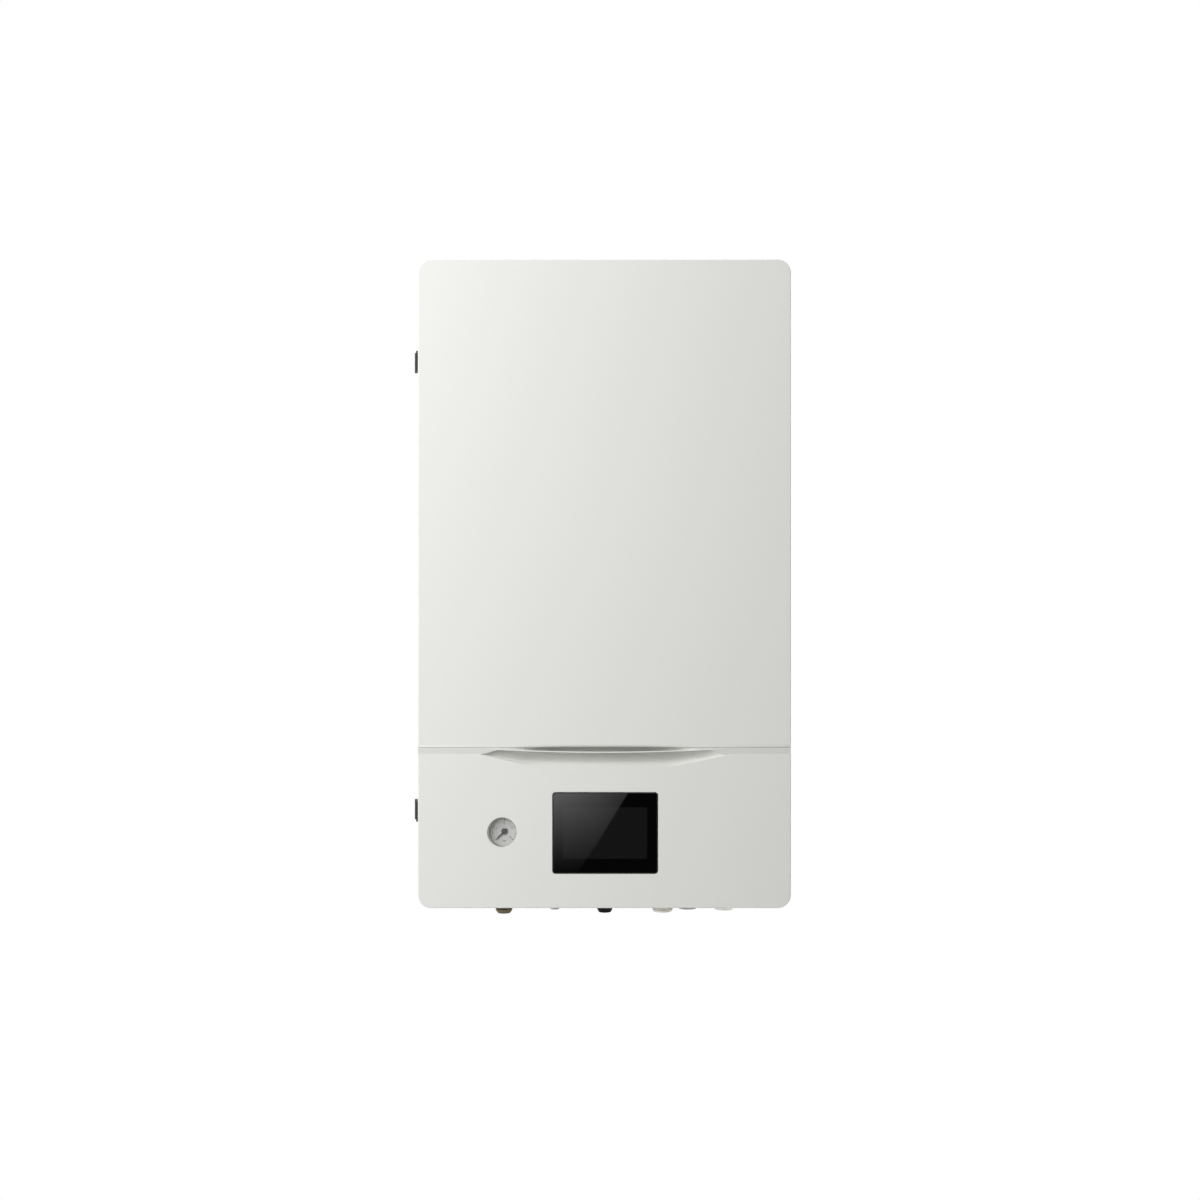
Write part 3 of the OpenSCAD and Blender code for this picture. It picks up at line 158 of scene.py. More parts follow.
def plate(cx, cz, w, h, r, d0, d1, edge=0.0, steps=8):
    """Rounded rectangle seen from the front, solid between two distances from the wall."""
    bm, corners = rectangle(cx - w / 2, cx + w / 2, cz - h / 2, cz + h / 2, d0)
    if r:
        round_corners(bm, corners, r, steps)
    thicken(bm, bm.faces[:], d1 - d0)
    if edge:
        soften(bm, edge)
    return bm


def bar(x0, x1, d0, d1, z0, z1, edge=0.3):
    return plate((x0 + x1) / 2, (z0 + z1) / 2, x1 - x0, z1 - z0, 0, d0, d1, edge)


def turned(profile, x, d, z, along="z", steps=64):
    """Turned shape from (radius, place on its axis) points, round an axis up, to the room or to the right."""
    bm = bmesh.new()
    verts = [bm.verts.new((r, 0, a)) for r, a in profile]
    edges = [bm.edges.new(pair) for pair in zip(verts, verts[1:])]
    bmesh.ops.spin(bm, geom=verts + edges, cent=(0, 0, 0), axis=(0, 0, 1), dvec=(0, 0, 0),
                   angle=2 * math.pi, steps=steps, use_merge=True)
    bmesh.ops.remove_doubles(bm, verts=bm.verts, dist=0.001)
    bmesh.ops.recalc_face_normals(bm, faces=bm.faces)
    move(bm, Matrix.Translation((x, -d, z)) @ AXIS_TURN[along])
    return bm


def hexagon(across, height):
    """Upright six-sided prism round the origin, from its width across flats."""
    bm = bmesh.new()
    bmesh.ops.create_cone(bm, cap_ends=True, segments=6, radius1=across / math.sqrt(3),
                          radius2=across / math.sqrt(3), depth=height)
    return bm


def ring_of(make_part, count, centre, axis):
    """Equal parts set evenly round an axis through the centre."""
    parts = []
    for i in range(count):
        part = make_part()
        move(part, Matrix.Translation(centre) @ Matrix.Rotation(2 * math.pi * i / count, 4, axis))
        parts.append(part)
    return parts


def as_mesh(name, bm):
    """A mesh of a finished bmesh, which is let go."""
    mesh = bpy.data.meshes.new(name)
    bm.to_mesh(mesh)
    bm.free()
    return mesh


def add_shape(whole, part):
    """Adds a part's shape to the whole, and lets the part go."""
    mesh = as_mesh("part", part)
    whole.from_mesh(mesh)
    bpy.data.meshes.remove(mesh)


def joined(parts):
    """One bmesh that holds all the parts."""
    whole = bmesh.new()
    for part in parts:
        add_shape(whole, part)
    return whole


def make_piece(name, bm, finish, body="cabinet", stands_for=(), slot=None, in_metres=False):
    """Puts a finished shape in the scene as an object of its own, on its body and in its finish."""
    if isinstance(bm, list):
        bm = joined(bm)
    if not in_metres:
        move(bm, PLACE)
    mesh = as_mesh(name, bm)
    mesh.shade_smooth()
    mesh.set_sharp_from_angle(angle=SHARP_ANGLE)
    mesh.materials.append(FINISHES[finish])
    piece = bpy.data.objects.new(name, mesh)
    scene.collection.objects.link(piece)
    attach(piece, body)
    slot or finish
    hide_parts(*stands_for)
    return piece


def weigh_normals(piece):
    """Keeps flat faces flat beside their rounded edges."""
    weighted = piece.modifiers.new("flat_faces", "WEIGHTED_NORMAL")
    weighted.mode = "FACE_AREA"
    weighted.weight = 100
    weighted.keep_sharp = True
    return piece


def give_wall(piece, thickness, edge):
    """Gives an open shell its wall, inwards from the outside, and rounds the wall's own edges."""
    wall = piece.modifiers.new("wall", "SOLIDIFY")
    wall.thickness = thickness * mm
    wall.offset = -1
    rounding = piece.modifiers.new("edges", "BEVEL")
    rounding.width = edge * mm
    rounding.segments = 2
    rounding.limit_method = "ANGLE"
    rounding.angle_limit = math.radians(50)
    return weigh_normals(piece)


# Finishes: effects that several of them share


def effect(name, **starts):
    """An empty shader node group with its inputs' first values, and its input and output sockets."""
    tree = bpy.data.node_groups.new(name, "ShaderNodeTree")
    for label, start in starts.items():
        kind = "Float" if isinstance(start, float) else "Color" if len(start) == 4 else "Vector"
        socket = tree.interface.new_socket(name=label, in_out="INPUT", socket_type="NodeSocket" + kind)
        socket.default_value = start
    for label, kind in (("Colour", "Color"), ("Roughness", "Float"), ("Normal", "Vector")):
        tree.interface.new_socket(name=label, in_out="OUTPUT", socket_type="NodeSocket" + kind)
    return tree, tree.nodes.new("NodeGroupInput").outputs, tree.nodes.new("NodeGroupOutput").inputs


def feed(tree, socket, value):
    """Sets a socket to a value, or joins it to the socket that is given."""
    if isinstance(value, bpy.types.NodeSocket):
        tree.links.new(value, socket)
    else:
        socket.default_value = value


def maths(tree, operation, a, b=0.0, c=0.0, clamp=False):
    n = tree.nodes.new("ShaderNodeMath")
    n.operation = operation
    n.use_clamp = clamp
    for socket, value in zip(n.inputs, (a, b, c)):
        feed(tree, socket, value)
    return n.outputs[0]


def mixed(tree, share, a, b, how="MIX"):
    n = tree.nodes.new("ShaderNodeMix")
    n.data_type = "RGBA"
    n.blend_type = how
    feed(tree, n.inputs["Factor"], share)
    feed(tree, n.inputs[6], a)
    feed(tree, n.inputs[7], b)
    return n.outputs[2]


def toned(tree, colour, tone):
    """A colour made lighter or darker by a value around 1."""
    shade = tree.nodes.new("ShaderNodeCombineColor")
    for socket in shade.inputs:
        feed(tree, socket, tone)
    return mixed(tree, 1.0, colour, shade.outputs[0], "MULTIPLY")


def texture(tree, kind, **settings):
    """A texture node of one kind with its settings, as its outputs."""
    n = tree.nodes.new("ShaderNodeTex" + kind)
    for label, value in settings.items():
        feed(tree, n.inputs[label], value)
    return n.outputs


def noise(tree, place, scale, detail=2.0, roughness=0.5, distortion=0.0):
    return texture(tree, "Noise", Vector=place, Scale=scale, Detail=detail, Roughness=roughness,
                   Distortion=distortion)["Fac"]


def about_zero(tree, value):
    """Moves a value between 0 and 1 to lie around zero."""
    return maths(tree, "SUBTRACT", value, 0.5)


def object_place(tree):
    return tree.nodes.new("ShaderNodeTexCoord").outputs["Object"]


def split(tree, vector):
    """The X, Y and Z of a vector."""
    n = tree.nodes.new("ShaderNodeSeparateXYZ")
    feed(tree, n.inputs[0], vector)
    return n.outputs


def bump(tree, height, strength, distance=0.0002):
    n = tree.nodes.new("ShaderNodeBump")
    for label, value in (("Height", height), ("Strength", strength), ("Distance", distance)):
        feed(tree, n.inputs[label], value)
    return n.outputs["Normal"]


def surface_effect():
    """Fine relief, soft patches of tone and rubbed patches of gloss, for paint and mouldings."""
    tree, given, made = effect("fine_surface", Colour=(0.8, 0.8, 0.8, 1), Tone=0.03, Roughness=0.4,
                               Rub=0.08, Grain=900.0, Relief=0.15, Dust=0.0)
    dust_colour, dust_roughness = (0.42, 0.40, 0.37, 1), 0.3
    place = object_place(tree)
    tone = maths(tree, "MULTIPLY_ADD", about_zero(tree, noise(tree, place, 5.0, 3.0)), given["Tone"], 1.0)
    up = split(tree, tree.nodes.new("ShaderNodeNewGeometry").outputs["Normal"])["Z"]
    specks = noise(tree, place, 60.0, 6.0, 0.7)
    lying = maths(tree, "MULTIPLY", maths(tree, "SMOOTH_MAX", up, 0.0, 0.1),
                  maths(tree, "MULTIPLY", specks, given["Dust"]), clamp=True)
    feed(tree, made["Colour"], mixed(tree, lying, toned(tree, given["Colour"], tone), dust_colour))
    rubbed = about_zero(tree, noise(tree, place, 28.0, 4.0, 0.6, 1.2))
    rough = maths(tree, "MULTIPLY_ADD", rubbed, given["Rub"], given["Roughness"])
    dusty = maths(tree, "MULTIPLY", lying, dust_roughness)
    feed(tree, made["Roughness"], maths(tree, "ADD", rough, dusty, clamp=True))
    feed(tree, made["Normal"], bump(tree, noise(tree, place, given["Grain"], 2.0), given["Relief"]))
    return tree


def metal_effect():
    """Tool or draw marks stretched along one way, with patches of tarnish, for bare metal."""
    tree, given, made = effect("worked_metal", Colour=(0.6, 0.6, 0.6, 1), Tarnish=(0.3, 0.3, 0.3, 1),
                               Tarnished=0.3, Roughness=0.3, Stretch=(400, 400, 10), Relief=0.1)
    mark_roughness, tarnish_roughness = 0.22, 0.35
    place = object_place(tree)
    stretched = tree.nodes.new("ShaderNodeVectorMath")
    stretched.operation = "MULTIPLY"
    feed(tree, stretched.inputs[0], place)
    feed(tree, stretched.inputs[1], given["Stretch"])
    marks = noise(tree, stretched.outputs[0], 1.0, 3.0, 0.6)
    cloud = noise(tree, place, 22.0, 6.0, 0.65, 0.6)
    spread = maths(tree, "SUBTRACT", maths(tree, "MULTIPLY", cloud, 2.0), 0.6, clamp=True)
    tarnish = maths(tree, "MULTIPLY", spread, given["Tarnished"])
    feed(tree, made["Colour"], mixed(tree, tarnish, given["Colour"], given["Tarnish"]))
    rough = maths(tree, "MULTIPLY_ADD", about_zero(tree, marks), mark_roughness, given["Roughness"])
    feed(tree, made["Roughness"],
         maths(tree, "MULTIPLY_ADD", tarnish, tarnish_roughness, rough, clamp=True))
    feed(tree, made["Normal"], bump(tree, marks, given["Relief"]))
    return tree


def zinc_effect():
    """Spangle of hot-dipped zinc: pale crystals of slightly different greys and gloss."""
    tree, given, made = effect("zinc_spangle", Colour=(0.6, 0.6, 0.6, 1), Size=110.0, Contrast=0.25,
                               Roughness=0.4)
    stain_contrast, gloss_contrast = 0.16, 0.16
    place = object_place(tree)
    each = tree.nodes.new("ShaderNodeSeparateColor")
    feed(tree, each.inputs[0], texture(tree, "Voronoi", Vector=place, Scale=given["Size"])["Color"])
    crystal = maths(tree, "MULTIPLY_ADD", about_zero(tree, each.outputs[0]), given["Contrast"], 1.0)
    stain = noise(tree, place, 9.0, 5.0, 0.6, 0.8)
    stained = maths(tree, "MULTIPLY_ADD", stain, stain_contrast, 1 - stain_contrast / 2)
    tone = maths(tree, "MULTIPLY", crystal, stained)
    feed(tree, made["Colour"], toned(tree, given["Colour"], tone))
    feed(tree, made["Roughness"],
         maths(tree, "MULTIPLY_ADD", each.outputs[1], gloss_contrast, given["Roughness"]))
    feed(tree, made["Normal"], bump(tree, noise(tree, place, 700.0, 2.0), 0.12))
    return tree


FINE_SURFACE = surface_effect()
WORKED_METAL = metal_effect()
ZINC_SPANGLE = zinc_effect()


def material(name, metallic=0.0, **constants):
    """A material with its Principled shader, whose constant sockets are set here."""
    made = bpy.data.materials.new(name)
    made.use_nodes = True
    shader = made.node_tree.nodes["Principled BSDF"]
    shader.inputs["Metallic"].default_value = metallic
    for label, value in constants.items():
        shader.inputs[label.replace("_", " ")].default_value = value
    return made, made.node_tree, shader


def dressed(name, group, values, metallic=0.0, **constants):
    """A material whose colour, roughness and relief come from one of the shared effects."""
    made, tree, shader = material(name, metallic, **constants)
    n = tree.nodes.new("ShaderNodeGroup")
    n.node_tree = group
    for label, value in values.items():
        n.inputs[label].default_value = value
    feed(tree, shader.inputs["Base Color"], n.outputs["Colour"])
    feed(tree, shader.inputs["Roughness"], n.outputs["Roughness"])
    feed(tree, shader.inputs["Normal"], n.outputs["Normal"])
    return made


def paint(name, colour, roughness, tone, rub, grain, relief, dust, **constants):
    return dressed(name, FINE_SURFACE, {
        "Colour": (*colour, 1), "Tone": tone, "Roughness": roughness, "Rub": rub, "Grain": grain,
        "Relief": relief, "Dust": dust}, **constants)


def bare_metal(name, colour, tarnish, tarnished, roughness, stretch, relief):
    return dressed(name, WORKED_METAL, {
        "Colour": (*colour, 1), "Tarnish": (*tarnish, 1), "Tarnished": tarnished,
        "Roughness": roughness, "Stretch": stretch, "Relief": relief}, metallic=1.0)


def glass_finish():
    """Black printed glass, with the picture area a shade lighter where the panel lies behind it."""
    made, tree, shader = material("black_glass", IOR=1.5)
    print_colour, picture_colour = (0.0010, 0.0010, 0.0009, 1), (0.0085, 0.0087, 0.0090, 1)
    place = split(tree, object_place(tree))
    middle = PLACE @ Vector((GLASS_X, 0, GLASS_Z))
    across = maths(tree, "ABSOLUTE", maths(tree, "SUBTRACT", place["X"], middle.x))
    upwards = maths(tree, "ABSOLUTE", maths(tree, "SUBTRACT", place["Z"], middle.z))
    inside = maths(tree, "MULTIPLY", maths(tree, "LESS_THAN", across, PICTURE_W / 2 * mm),
                   maths(tree, "LESS_THAN", upwards, PICTURE_H / 2 * mm))
    feed(tree, shader.inputs["Base Color"], mixed(tree, inside, print_colour, picture_colour))
    smear = noise(tree, object_place(tree), 35.0, 4.0, 0.6, 1.5)
    feed(tree, shader.inputs["Roughness"], maths(tree, "MULTIPLY_ADD", smear, 0.02, 0.008))
    return made


def lens_finish():
    """Clear plastic with faint smears, for the gauge's lens."""
    made, tree, shader = material("clear_lens", Base_Color=(0.55, 0.57, 0.57, 1), Alpha=0.06, IOR=1.49)
    smear = noise(tree, object_place(tree), 90.0, 3.0)
    feed(tree, shader.inputs["Roughness"], maths(tree, "MULTIPLY_ADD", smear, 0.06, 0.02))
    return made


def foam_finish(name, colour, cell, relief):
    """Closed-cell foam: small dimples and a matt, slightly mottled skin."""
    made, tree, shader = material(name, Roughness=0.92)
    place = object_place(tree)
    dimples = texture(tree, "Voronoi", Vector=place, Scale=cell)["Distance"]
    mottle = noise(tree, place, 45.0, 5.0, 0.7)
    darker = tuple(0.55 * c for c in colour)
    feed(tree, shader.inputs["Base Color"], mixed(tree, mottle, (*darker, 1), (*colour, 1)))
    feed(tree, shader.inputs["Normal"], bump(tree, dimples, relief, 0.0006))
    return made


# Finish: colour, roughness, tone, rub, grain, relief, dust
PAINTS = {
    "white_paint": ((0.86, 0.86, 0.832), 0.42, 0.015, 0.05, 1400.0, 0.10, 0.12),
    "white_plastic": ((0.86, 0.86, 0.832), 0.40, 0.015, 0.05, 1800.0, 0.08, 0.12),
    # The white plastic painted darker: painted shade for the ledge under the upper panel's overhang
    "white_plastic_painted_shade": ((0.775, 0.775, 0.748), 0.42, 0.015, 0.05, 1800.0, 0.08, 0.12),
    "black_plastic": ((0.020, 0.020, 0.020), 0.46, 0.2, 0.16, 1500.0, 0.35, 0.25),
    "screen": ((0.014, 0.015, 0.017), 0.18, 0.2, 0.05, 2500.0, 0.02, 0.0),
    "dial_white": ((0.71, 0.71, 0.69), 0.55, 0.05, 0.05, 2200.0, 0.05, 0.0),
    "grey_plastic": ((0.66, 0.66, 0.64), 0.45, 0.08, 0.1, 1300.0, 0.2, 0.2),
    "cable_sheath": ((0.018, 0.018, 0.019), 0.5, 0.3, 0.15, 800.0, 0.2, 0.3),
    "board_green": ((0.012, 0.115, 0.045), 0.33, 0.25, 0.1, 500.0, 0.25, 0.15),
    "red_enamel": ((0.42, 0.028, 0.020), 0.34, 0.12, 0.12, 650.0, 0.3, 0.3),
    "red_plastic": ((0.45, 0.03, 0.02), 0.38, 0.12, 0.1, 1500.0, 0.2, 0.1),
    "cast_black": ((0.035, 0.036, 0.036), 0.5, 0.35, 0.2, 330.0, 0.9, 0.4),
    "motor_green": ((0.012, 0.065, 0.045), 0.36, 0.2, 0.12, 700.0, 0.3, 0.35),
}
NYLON = ((0.008, 0.008, 0.0085), 0.6, 0.2, 0.1, 1500.0, 0.35, 0.1)

# Finish: colour, tarnish's colour, share that is tarnished, roughness, stretch of the marks, relief
METALS = {
    "bright_steel": ((0.70, 0.70, 0.69), (0.45, 0.42, 0.37), 0.25, 0.26, (700, 700, 14), 0.1),
    "gauge_metal": ((0.50, 0.50, 0.48), (0.30, 0.29, 0.27), 0.35, 0.38, (90, 900, 90), 0.1),
    "copper": ((0.78, 0.43, 0.28), (0.36, 0.17, 0.09), 0.55, 0.27, (260, 260, 260), 0.06),
    "brass": ((0.55, 0.46, 0.25), (0.24, 0.19, 0.10), 0.50, 0.36, (60, 60, 900), 0.1),
    "tarnished_brass": ((0.19, 0.165, 0.11), (0.08, 0.07, 0.045), 0.65, 0.46, (60, 60, 900), 0.1),
    "grey_fitting": ((0.76, 0.745, 0.70), (0.52, 0.50, 0.45), 0.35, 0.32, (60, 60, 900), 0.1),
}
ZINC = {"Colour": (0.54, 0.55, 0.565, 1), "Size": 230.0, "Contrast": 0.20, "Roughness": 0.38}

FINISHES = {name: paint(name, *values) for name, values in PAINTS.items()}
FINISHES.update({name: bare_metal(name, *values) for name, values in METALS.items()})
FINISHES.update({
    "gland_nylon": paint("gland_nylon", *NYLON, Specular_IOR_Level=0.15),
    "zinc_steel": dressed("zinc_steel", ZINC_SPANGLE, ZINC, metallic=1.0),
    "black_glass": glass_finish(),
    "clear_lens": lens_finish(),
    "foam": foam_finish("foam", (0.085, 0.085, 0.088), 420.0, 0.5),
    "rubber": foam_finish("rubber", (0.035, 0.035, 0.036), 900.0, 0.3),
})

# Every solid of the frame takes the finish that the record names for it
SLOT_OF = {row["node"]: row["material_slot"] for row in frame["record"]["subparts"]}
for node, slot in SLOT_OF.items():
    mesh = frame["nodes"][node].data
    mesh.materials.clear()
    mesh.materials.append(FINISHES[slot])


# The door's upper panel: a folded sheet, rounded at its two upper corners


def open_pan(x0, x1, z0, z1, sharp_corners):
    """A shallow pan that is open to the back, with rounded corners but for those that are named."""
    bm, corners = rectangle(x0, x1, z0, z1, DOOR_BACK)
    round_corners(bm, [c for i, c in enumerate(corners) if i not in sharp_corners], CORNER_R, 10)
    front = thicken(bm, bm.faces[:], CAB_D - DOOR_BACK)[0]
    bmesh.ops.delete(bm, geom=[f for f in bm.faces if lies_at(f, "y", -DOOR_BACK)], context="FACES_ONLY")
    return bm, front


def cut(bm, faces, point, normal):
    """Divides faces along a plane and takes nothing away."""
    geom = dict.fromkeys(part for f in faces for part in (f, *f.edges, *f.verts))
    bmesh.ops.bisect_plane(bm, geom=list(geom), dist=0.0001, plane_co=point, plane_no=normal)


def flat_front(bm, below=CAB_H):
    """Faces of the flat front whose middle lies below a height."""
    return [f for f in bm.faces if lies_at(f, "y", -CAB_D, 0.001) and f.calc_center_median().z < below]


def eased_share(t):
    """Rises smoothly from 0 to 1 as t does."""
    t = max(0.0, min(1.0, t))
    return t * t * (3 - 2 * t)


def upper_door_panel():
    """The folded sheet, whose foot draws back in a shallow cove over the finger scoop."""
    bm, front = open_pan(LEFT, RIGHT, SEAM_Z, CAB_H, (0, 1))
    soften(bm, RIM_R, 4, edges=[e for e in front.edges if not lies_at(e, "z", SEAM_Z)])
    cove_top = SEAM_Z + COVE_H
    rows, columns, column_w = 5, 12, 10
    cut(bm, flat_front(bm), (0, 0, cove_top), (0, 0, 1))
    for row in range(1, rows):
        cut(bm, flat_front(bm, cove_top), (0, 0, SEAM_Z + COVE_H * row / rows), (0, 0, 1))
    for column in range(-columns, columns + 1):
        cut(bm, flat_front(bm, cove_top), (column * column_w, 0, 0), (1, 0, 0))
    for v in bm.verts:
        if v.co.y < -CAB_D + 0.001 and v.co.z < cove_top - 0.01:
            drop = COVE_DROP * eased_share((COVE_HALF - abs(v.co.x)) / COVE_FADE)
            v.co.y += drop * ((cove_top - v.co.z) / COVE_H) ** 2
    panel = make_piece("upper_door_panel", bm, "white_paint", "door", ["upper_front_panel"])
    give_wall(panel, SHEET_T, 0.5)


upper_door_panel()


# The lower fascia: a moulding with the finger scoop, the ledge and two holes


def scoop_edge(x):
    """Height of the scoop's lower edge, with its two corners drawn smooth."""
    corner_width = 0.16
    along = (abs(x) - SCOOP_FLAT_HALF) / (SCOOP_HALF - SCOOP_FLAT_HALF)
    rising = (along + math.hypot(along, corner_width)) / 2
    return SCOOP_Z + (LEDGE_Z - SCOOP_Z) * min(1.0, rising)


def face_at(bm, x, z):
    return min(flat_front(bm), key=lambda f: (f.calc_center_median() - Vector((x, -CAB_D, z))).length)


def hole(bm, x, z, w, h, rim):
    """Replaces a rectangle of the front by faces that run round the rim, another bmesh's outline."""
    for point, normal in (((x - w / 2, 0, 0), (1, 0, 0)), ((x + w / 2, 0, 0), (1, 0, 0)),
                          ((0, 0, z - h / 2), (0, 0, 1)), ((0, 0, z + h / 2), (0, 0, 1))):
        cut(bm, flat_front(bm, SCOOP_Z), point, normal)
    gone = [f for f in flat_front(bm, SCOOP_Z)
            if abs(f.calc_center_median().x - x) < w / 2 and abs(f.calc_center_median().z - z) < h / 2]
    around = dict.fromkeys(e for f in gone for e in f.edges)
    outer = [e for e in around if sum(f in gone for f in e.link_faces) == 1]
    bmesh.ops.delete(bm, geom=gone, context="FACES")
    known = set(bm.edges)
    add_shape(bm, rim)
    inner = [e for e in bm.edges if e not in known]
    bmesh.ops.triangle_fill(bm, use_beauty=True, edges=outer + inner, normal=(0, -1, 0))


def circle_rim(x, z, r):
    bm = bmesh.new()
    bmesh.ops.create_circle(bm, cap_ends=False, radius=r, segments=64,
                            matrix=Matrix.Translation((x, -CAB_D, z)) @ TO_ROOM)
    return bm


def rounded_rim(x, z, w, h, r):
    """Outline of a hole in the front, with no face in it."""
    bm, corners = rectangle(x - w / 2, x + w / 2, z - h / 2, z + h / 2, CAB_D)
    round_corners(bm, corners, r)
    bmesh.ops.delete(bm, geom=bm.faces[:], context="FACES_ONLY")
    return bm


def carve_scoop(bm):
    """Opens the scoop's outline in the front and draws its edge back and up in rows, like a spoon."""
    rows, edge_cuts, taper, fullness = 14, 23, 0.85, 0.8
    rise, middle_z, face_x = LEDGE_Z - SCOOP_Z, (SCOOP_Z + LEDGE_Z) / 2, 60
    slope = rise / (SCOOP_HALF - SCOOP_FLAT_HALF)
    cut(bm, flat_front(bm), (0, 0, SCOOP_Z), (0, 0, 1))
    for side in (-1, 1):
        strip = [face_at(bm, side * face_x, middle_z)]
        cut(bm, strip, (side * SCOOP_HALF, 0, LEDGE_Z), (side * slope, 0, -1))
    gone = face_at(bm, 0, middle_z)
    edge = [e for e in gone.edges if not lies_at(e, "z", LEDGE_Z)]
    bmesh.ops.delete(bm, geom=[gone], context="FACES_ONLY")
    divided = bmesh.ops.subdivide_edges(bm, edges=edge, cuts=edge_cuts)["geom_split"]
    row = only(divided, BMEdge)
    for v in {v for e in row for v in e.verts}:
        v.co.z = scoop_edge(v.co.x)
    for i in range(1, rows + 1):
        row = only(bmesh.ops.extrude_edge_only(bm, edges=row)["geom"], BMEdge)
        share = i / rows
        for v in {v for e in row for v in e.verts}:
            low = scoop_edge(v.co.x)
            depth = SCOOP_DEPTH * ((LEDGE_Z - low) / rise) ** taper
            v.co.z = low + (LEDGE_Z - low) * share
            v.co.y = -CAB_D + depth * math.sin(math.pi / 2 * share) ** fullness
    under_lip = [e for e in row if max(abs(v.co.x) for v in e.verts) < SCOOP_HALF - 5]
    raised = only(bmesh.ops.extrude_edge_only(bm, edges=under_lip)["geom"], BMVert)
    bmesh.ops.translate(bm, vec=(0, 0, LEDGE_TOP - LEDGE_Z - 0.2), verts=raised)
    bmesh.ops.remove_doubles(bm, verts=bm.verts, dist=0.001)


def lip_height(x):
    """Height of the trim strip's lower edge, which bows down in the middle."""
    return LIP_Z + LIP_RISE * (x / LIP_HALF) ** 2


def bowed_strip(x0, x1, d0, front, bottom, top, edge=0.25):
    """A strip whose front, lower and upper edges follow functions of its place."""
    steps = max(2, int(abs(x1 - x0) / 5))
    bm = bmesh.new()
    bmesh.ops.create_grid(bm, x_segments=steps, y_segments=1, size=0.5)
    for v in bm.verts:
        x = x0 + (v.co.x + 0.5) * (x1 - x0)
        v.co = (x, -d0, top(x) if v.co.y > 0 else bottom(x))
    thicken(bm, bm.faces[:], 1)
    for v in bm.verts:
        if v.co.y < -d0 - 0.5:
            v.co.y = -front(v.co.x, v.co.z)
    soften(bm, edge)
    return bm


def fascia():
    """The fascia's skin, with its scoop and the holes for the gauge and the touch screen."""
    gauge_field, glass_margin = 48, 8
    bm = open_pan(LEFT, RIGHT, 0, LEDGE_Z, (2, 3))[0]
    bmesh.ops.delete(bm, geom=[f for f in bm.faces if lies_at(f, "z", LEDGE_Z)], context="FACES_ONLY")
    soften(bm, RIM_R, 4, edges=[e for e in bm.edges if lies_at(e, "y", -CAB_D) and len(e.link_faces) == 2])
    carve_scoop(bm)
    hole(bm, HOLE_X, GAUGE_Z, gauge_field, gauge_field, circle_rim(HOLE_X, GAUGE_Z, HOLE_R))
    opening = rounded_rim(GLASS_X, GLASS_Z, GLASS_W + 2 * GLASS_GAP, GLASS_H + 2 * GLASS_GAP,
                          GLASS_R + GLASS_GAP)
    hole(bm, GLASS_X, GLASS_Z, GLASS_W + glass_margin, GLASS_H + glass_margin, opening)
    bmesh.ops.recalc_face_normals(bm, faces=bm.faces)
    skin = make_piece("lower_fascia_skin", bm, "white_plastic", "door", ["lower_fascia"])
    give_wall(skin, FASCIA_T, 0.5)


def seam_ledge():
    """The ledge between scoop and seam, set back in the middle as a pocket for the fingers."""
    end, draft = RIGHT - 0.1, 0.04
    closing_from, closing_width = SCOOP_HALF - 31, 30
    roof_in_lip, roof_on_skin = 0.6, LEDGE_Z - 0.3

    def roof(x):
        closing = eased_share((abs(x) - closing_from) / closing_width)
        return (lip_height(x) + roof_in_lip) * (1 - closing) + roof_on_skin * closing

    def top(x):
        return LEDGE_TOP

    def front(x, z):
        dip = POCKET_DEPTH * eased_share((POCKET_HALF - abs(x)) / POCKET_FADE)
        return LEDGE_D - dip - draft * (LEDGE_TOP - z)

    ledge = bowed_strip(-end, end, DOOR_BACK + 1.8, front, roof, top, 0.15)
    upright = [e for e in ledge.edges if abs(e.verts[0].co.z - e.verts[1].co.z) > 4]
    corners = [e for e in upright
               if all(abs(abs(v.co.x) - end) < 0.4 and v.co.y < -LEDGE_D + 2 for v in e.verts)]
    soften(ledge, 2.4, 5, edges=corners)
    # The ledge wears the white plastic painted darker, as painted shade under the upper panel
    weigh_normals(make_piece("seam_ledge", ledge, "white_plastic_painted_shade", "door", ["lower_fascia"], "white_plastic"))


def trim_strip():
    """The bright strip over the scoop, and the web behind it that reaches back into the pocket."""
    nose_back, nose_fade = 1.5, 22

    def over(x):
        return lip_height(x) + LIP_T

    def nose(x, z):
        return LIP_FRONT - nose_back * eased_share((abs(x) - LIP_HALF + nose_fade) / nose_fade)

    def inner(x, z):
        return LIP_FRONT - 2.5

    web_half, web_back = POCKET_HALF + 3, CAB_D - SCOOP_DEPTH + 0.2
    front = bowed_strip(-LIP_HALF, LIP_HALF, LIP_FRONT - 3.5, nose, lip_height, over, 0.3)
    web = bowed_strip(-web_half, web_half, web_back, inner, lip_height, over, 0.2)
    weigh_normals(make_piece("trim_strip", [front, web], "white_plastic", "door", ["grip_lip"]))


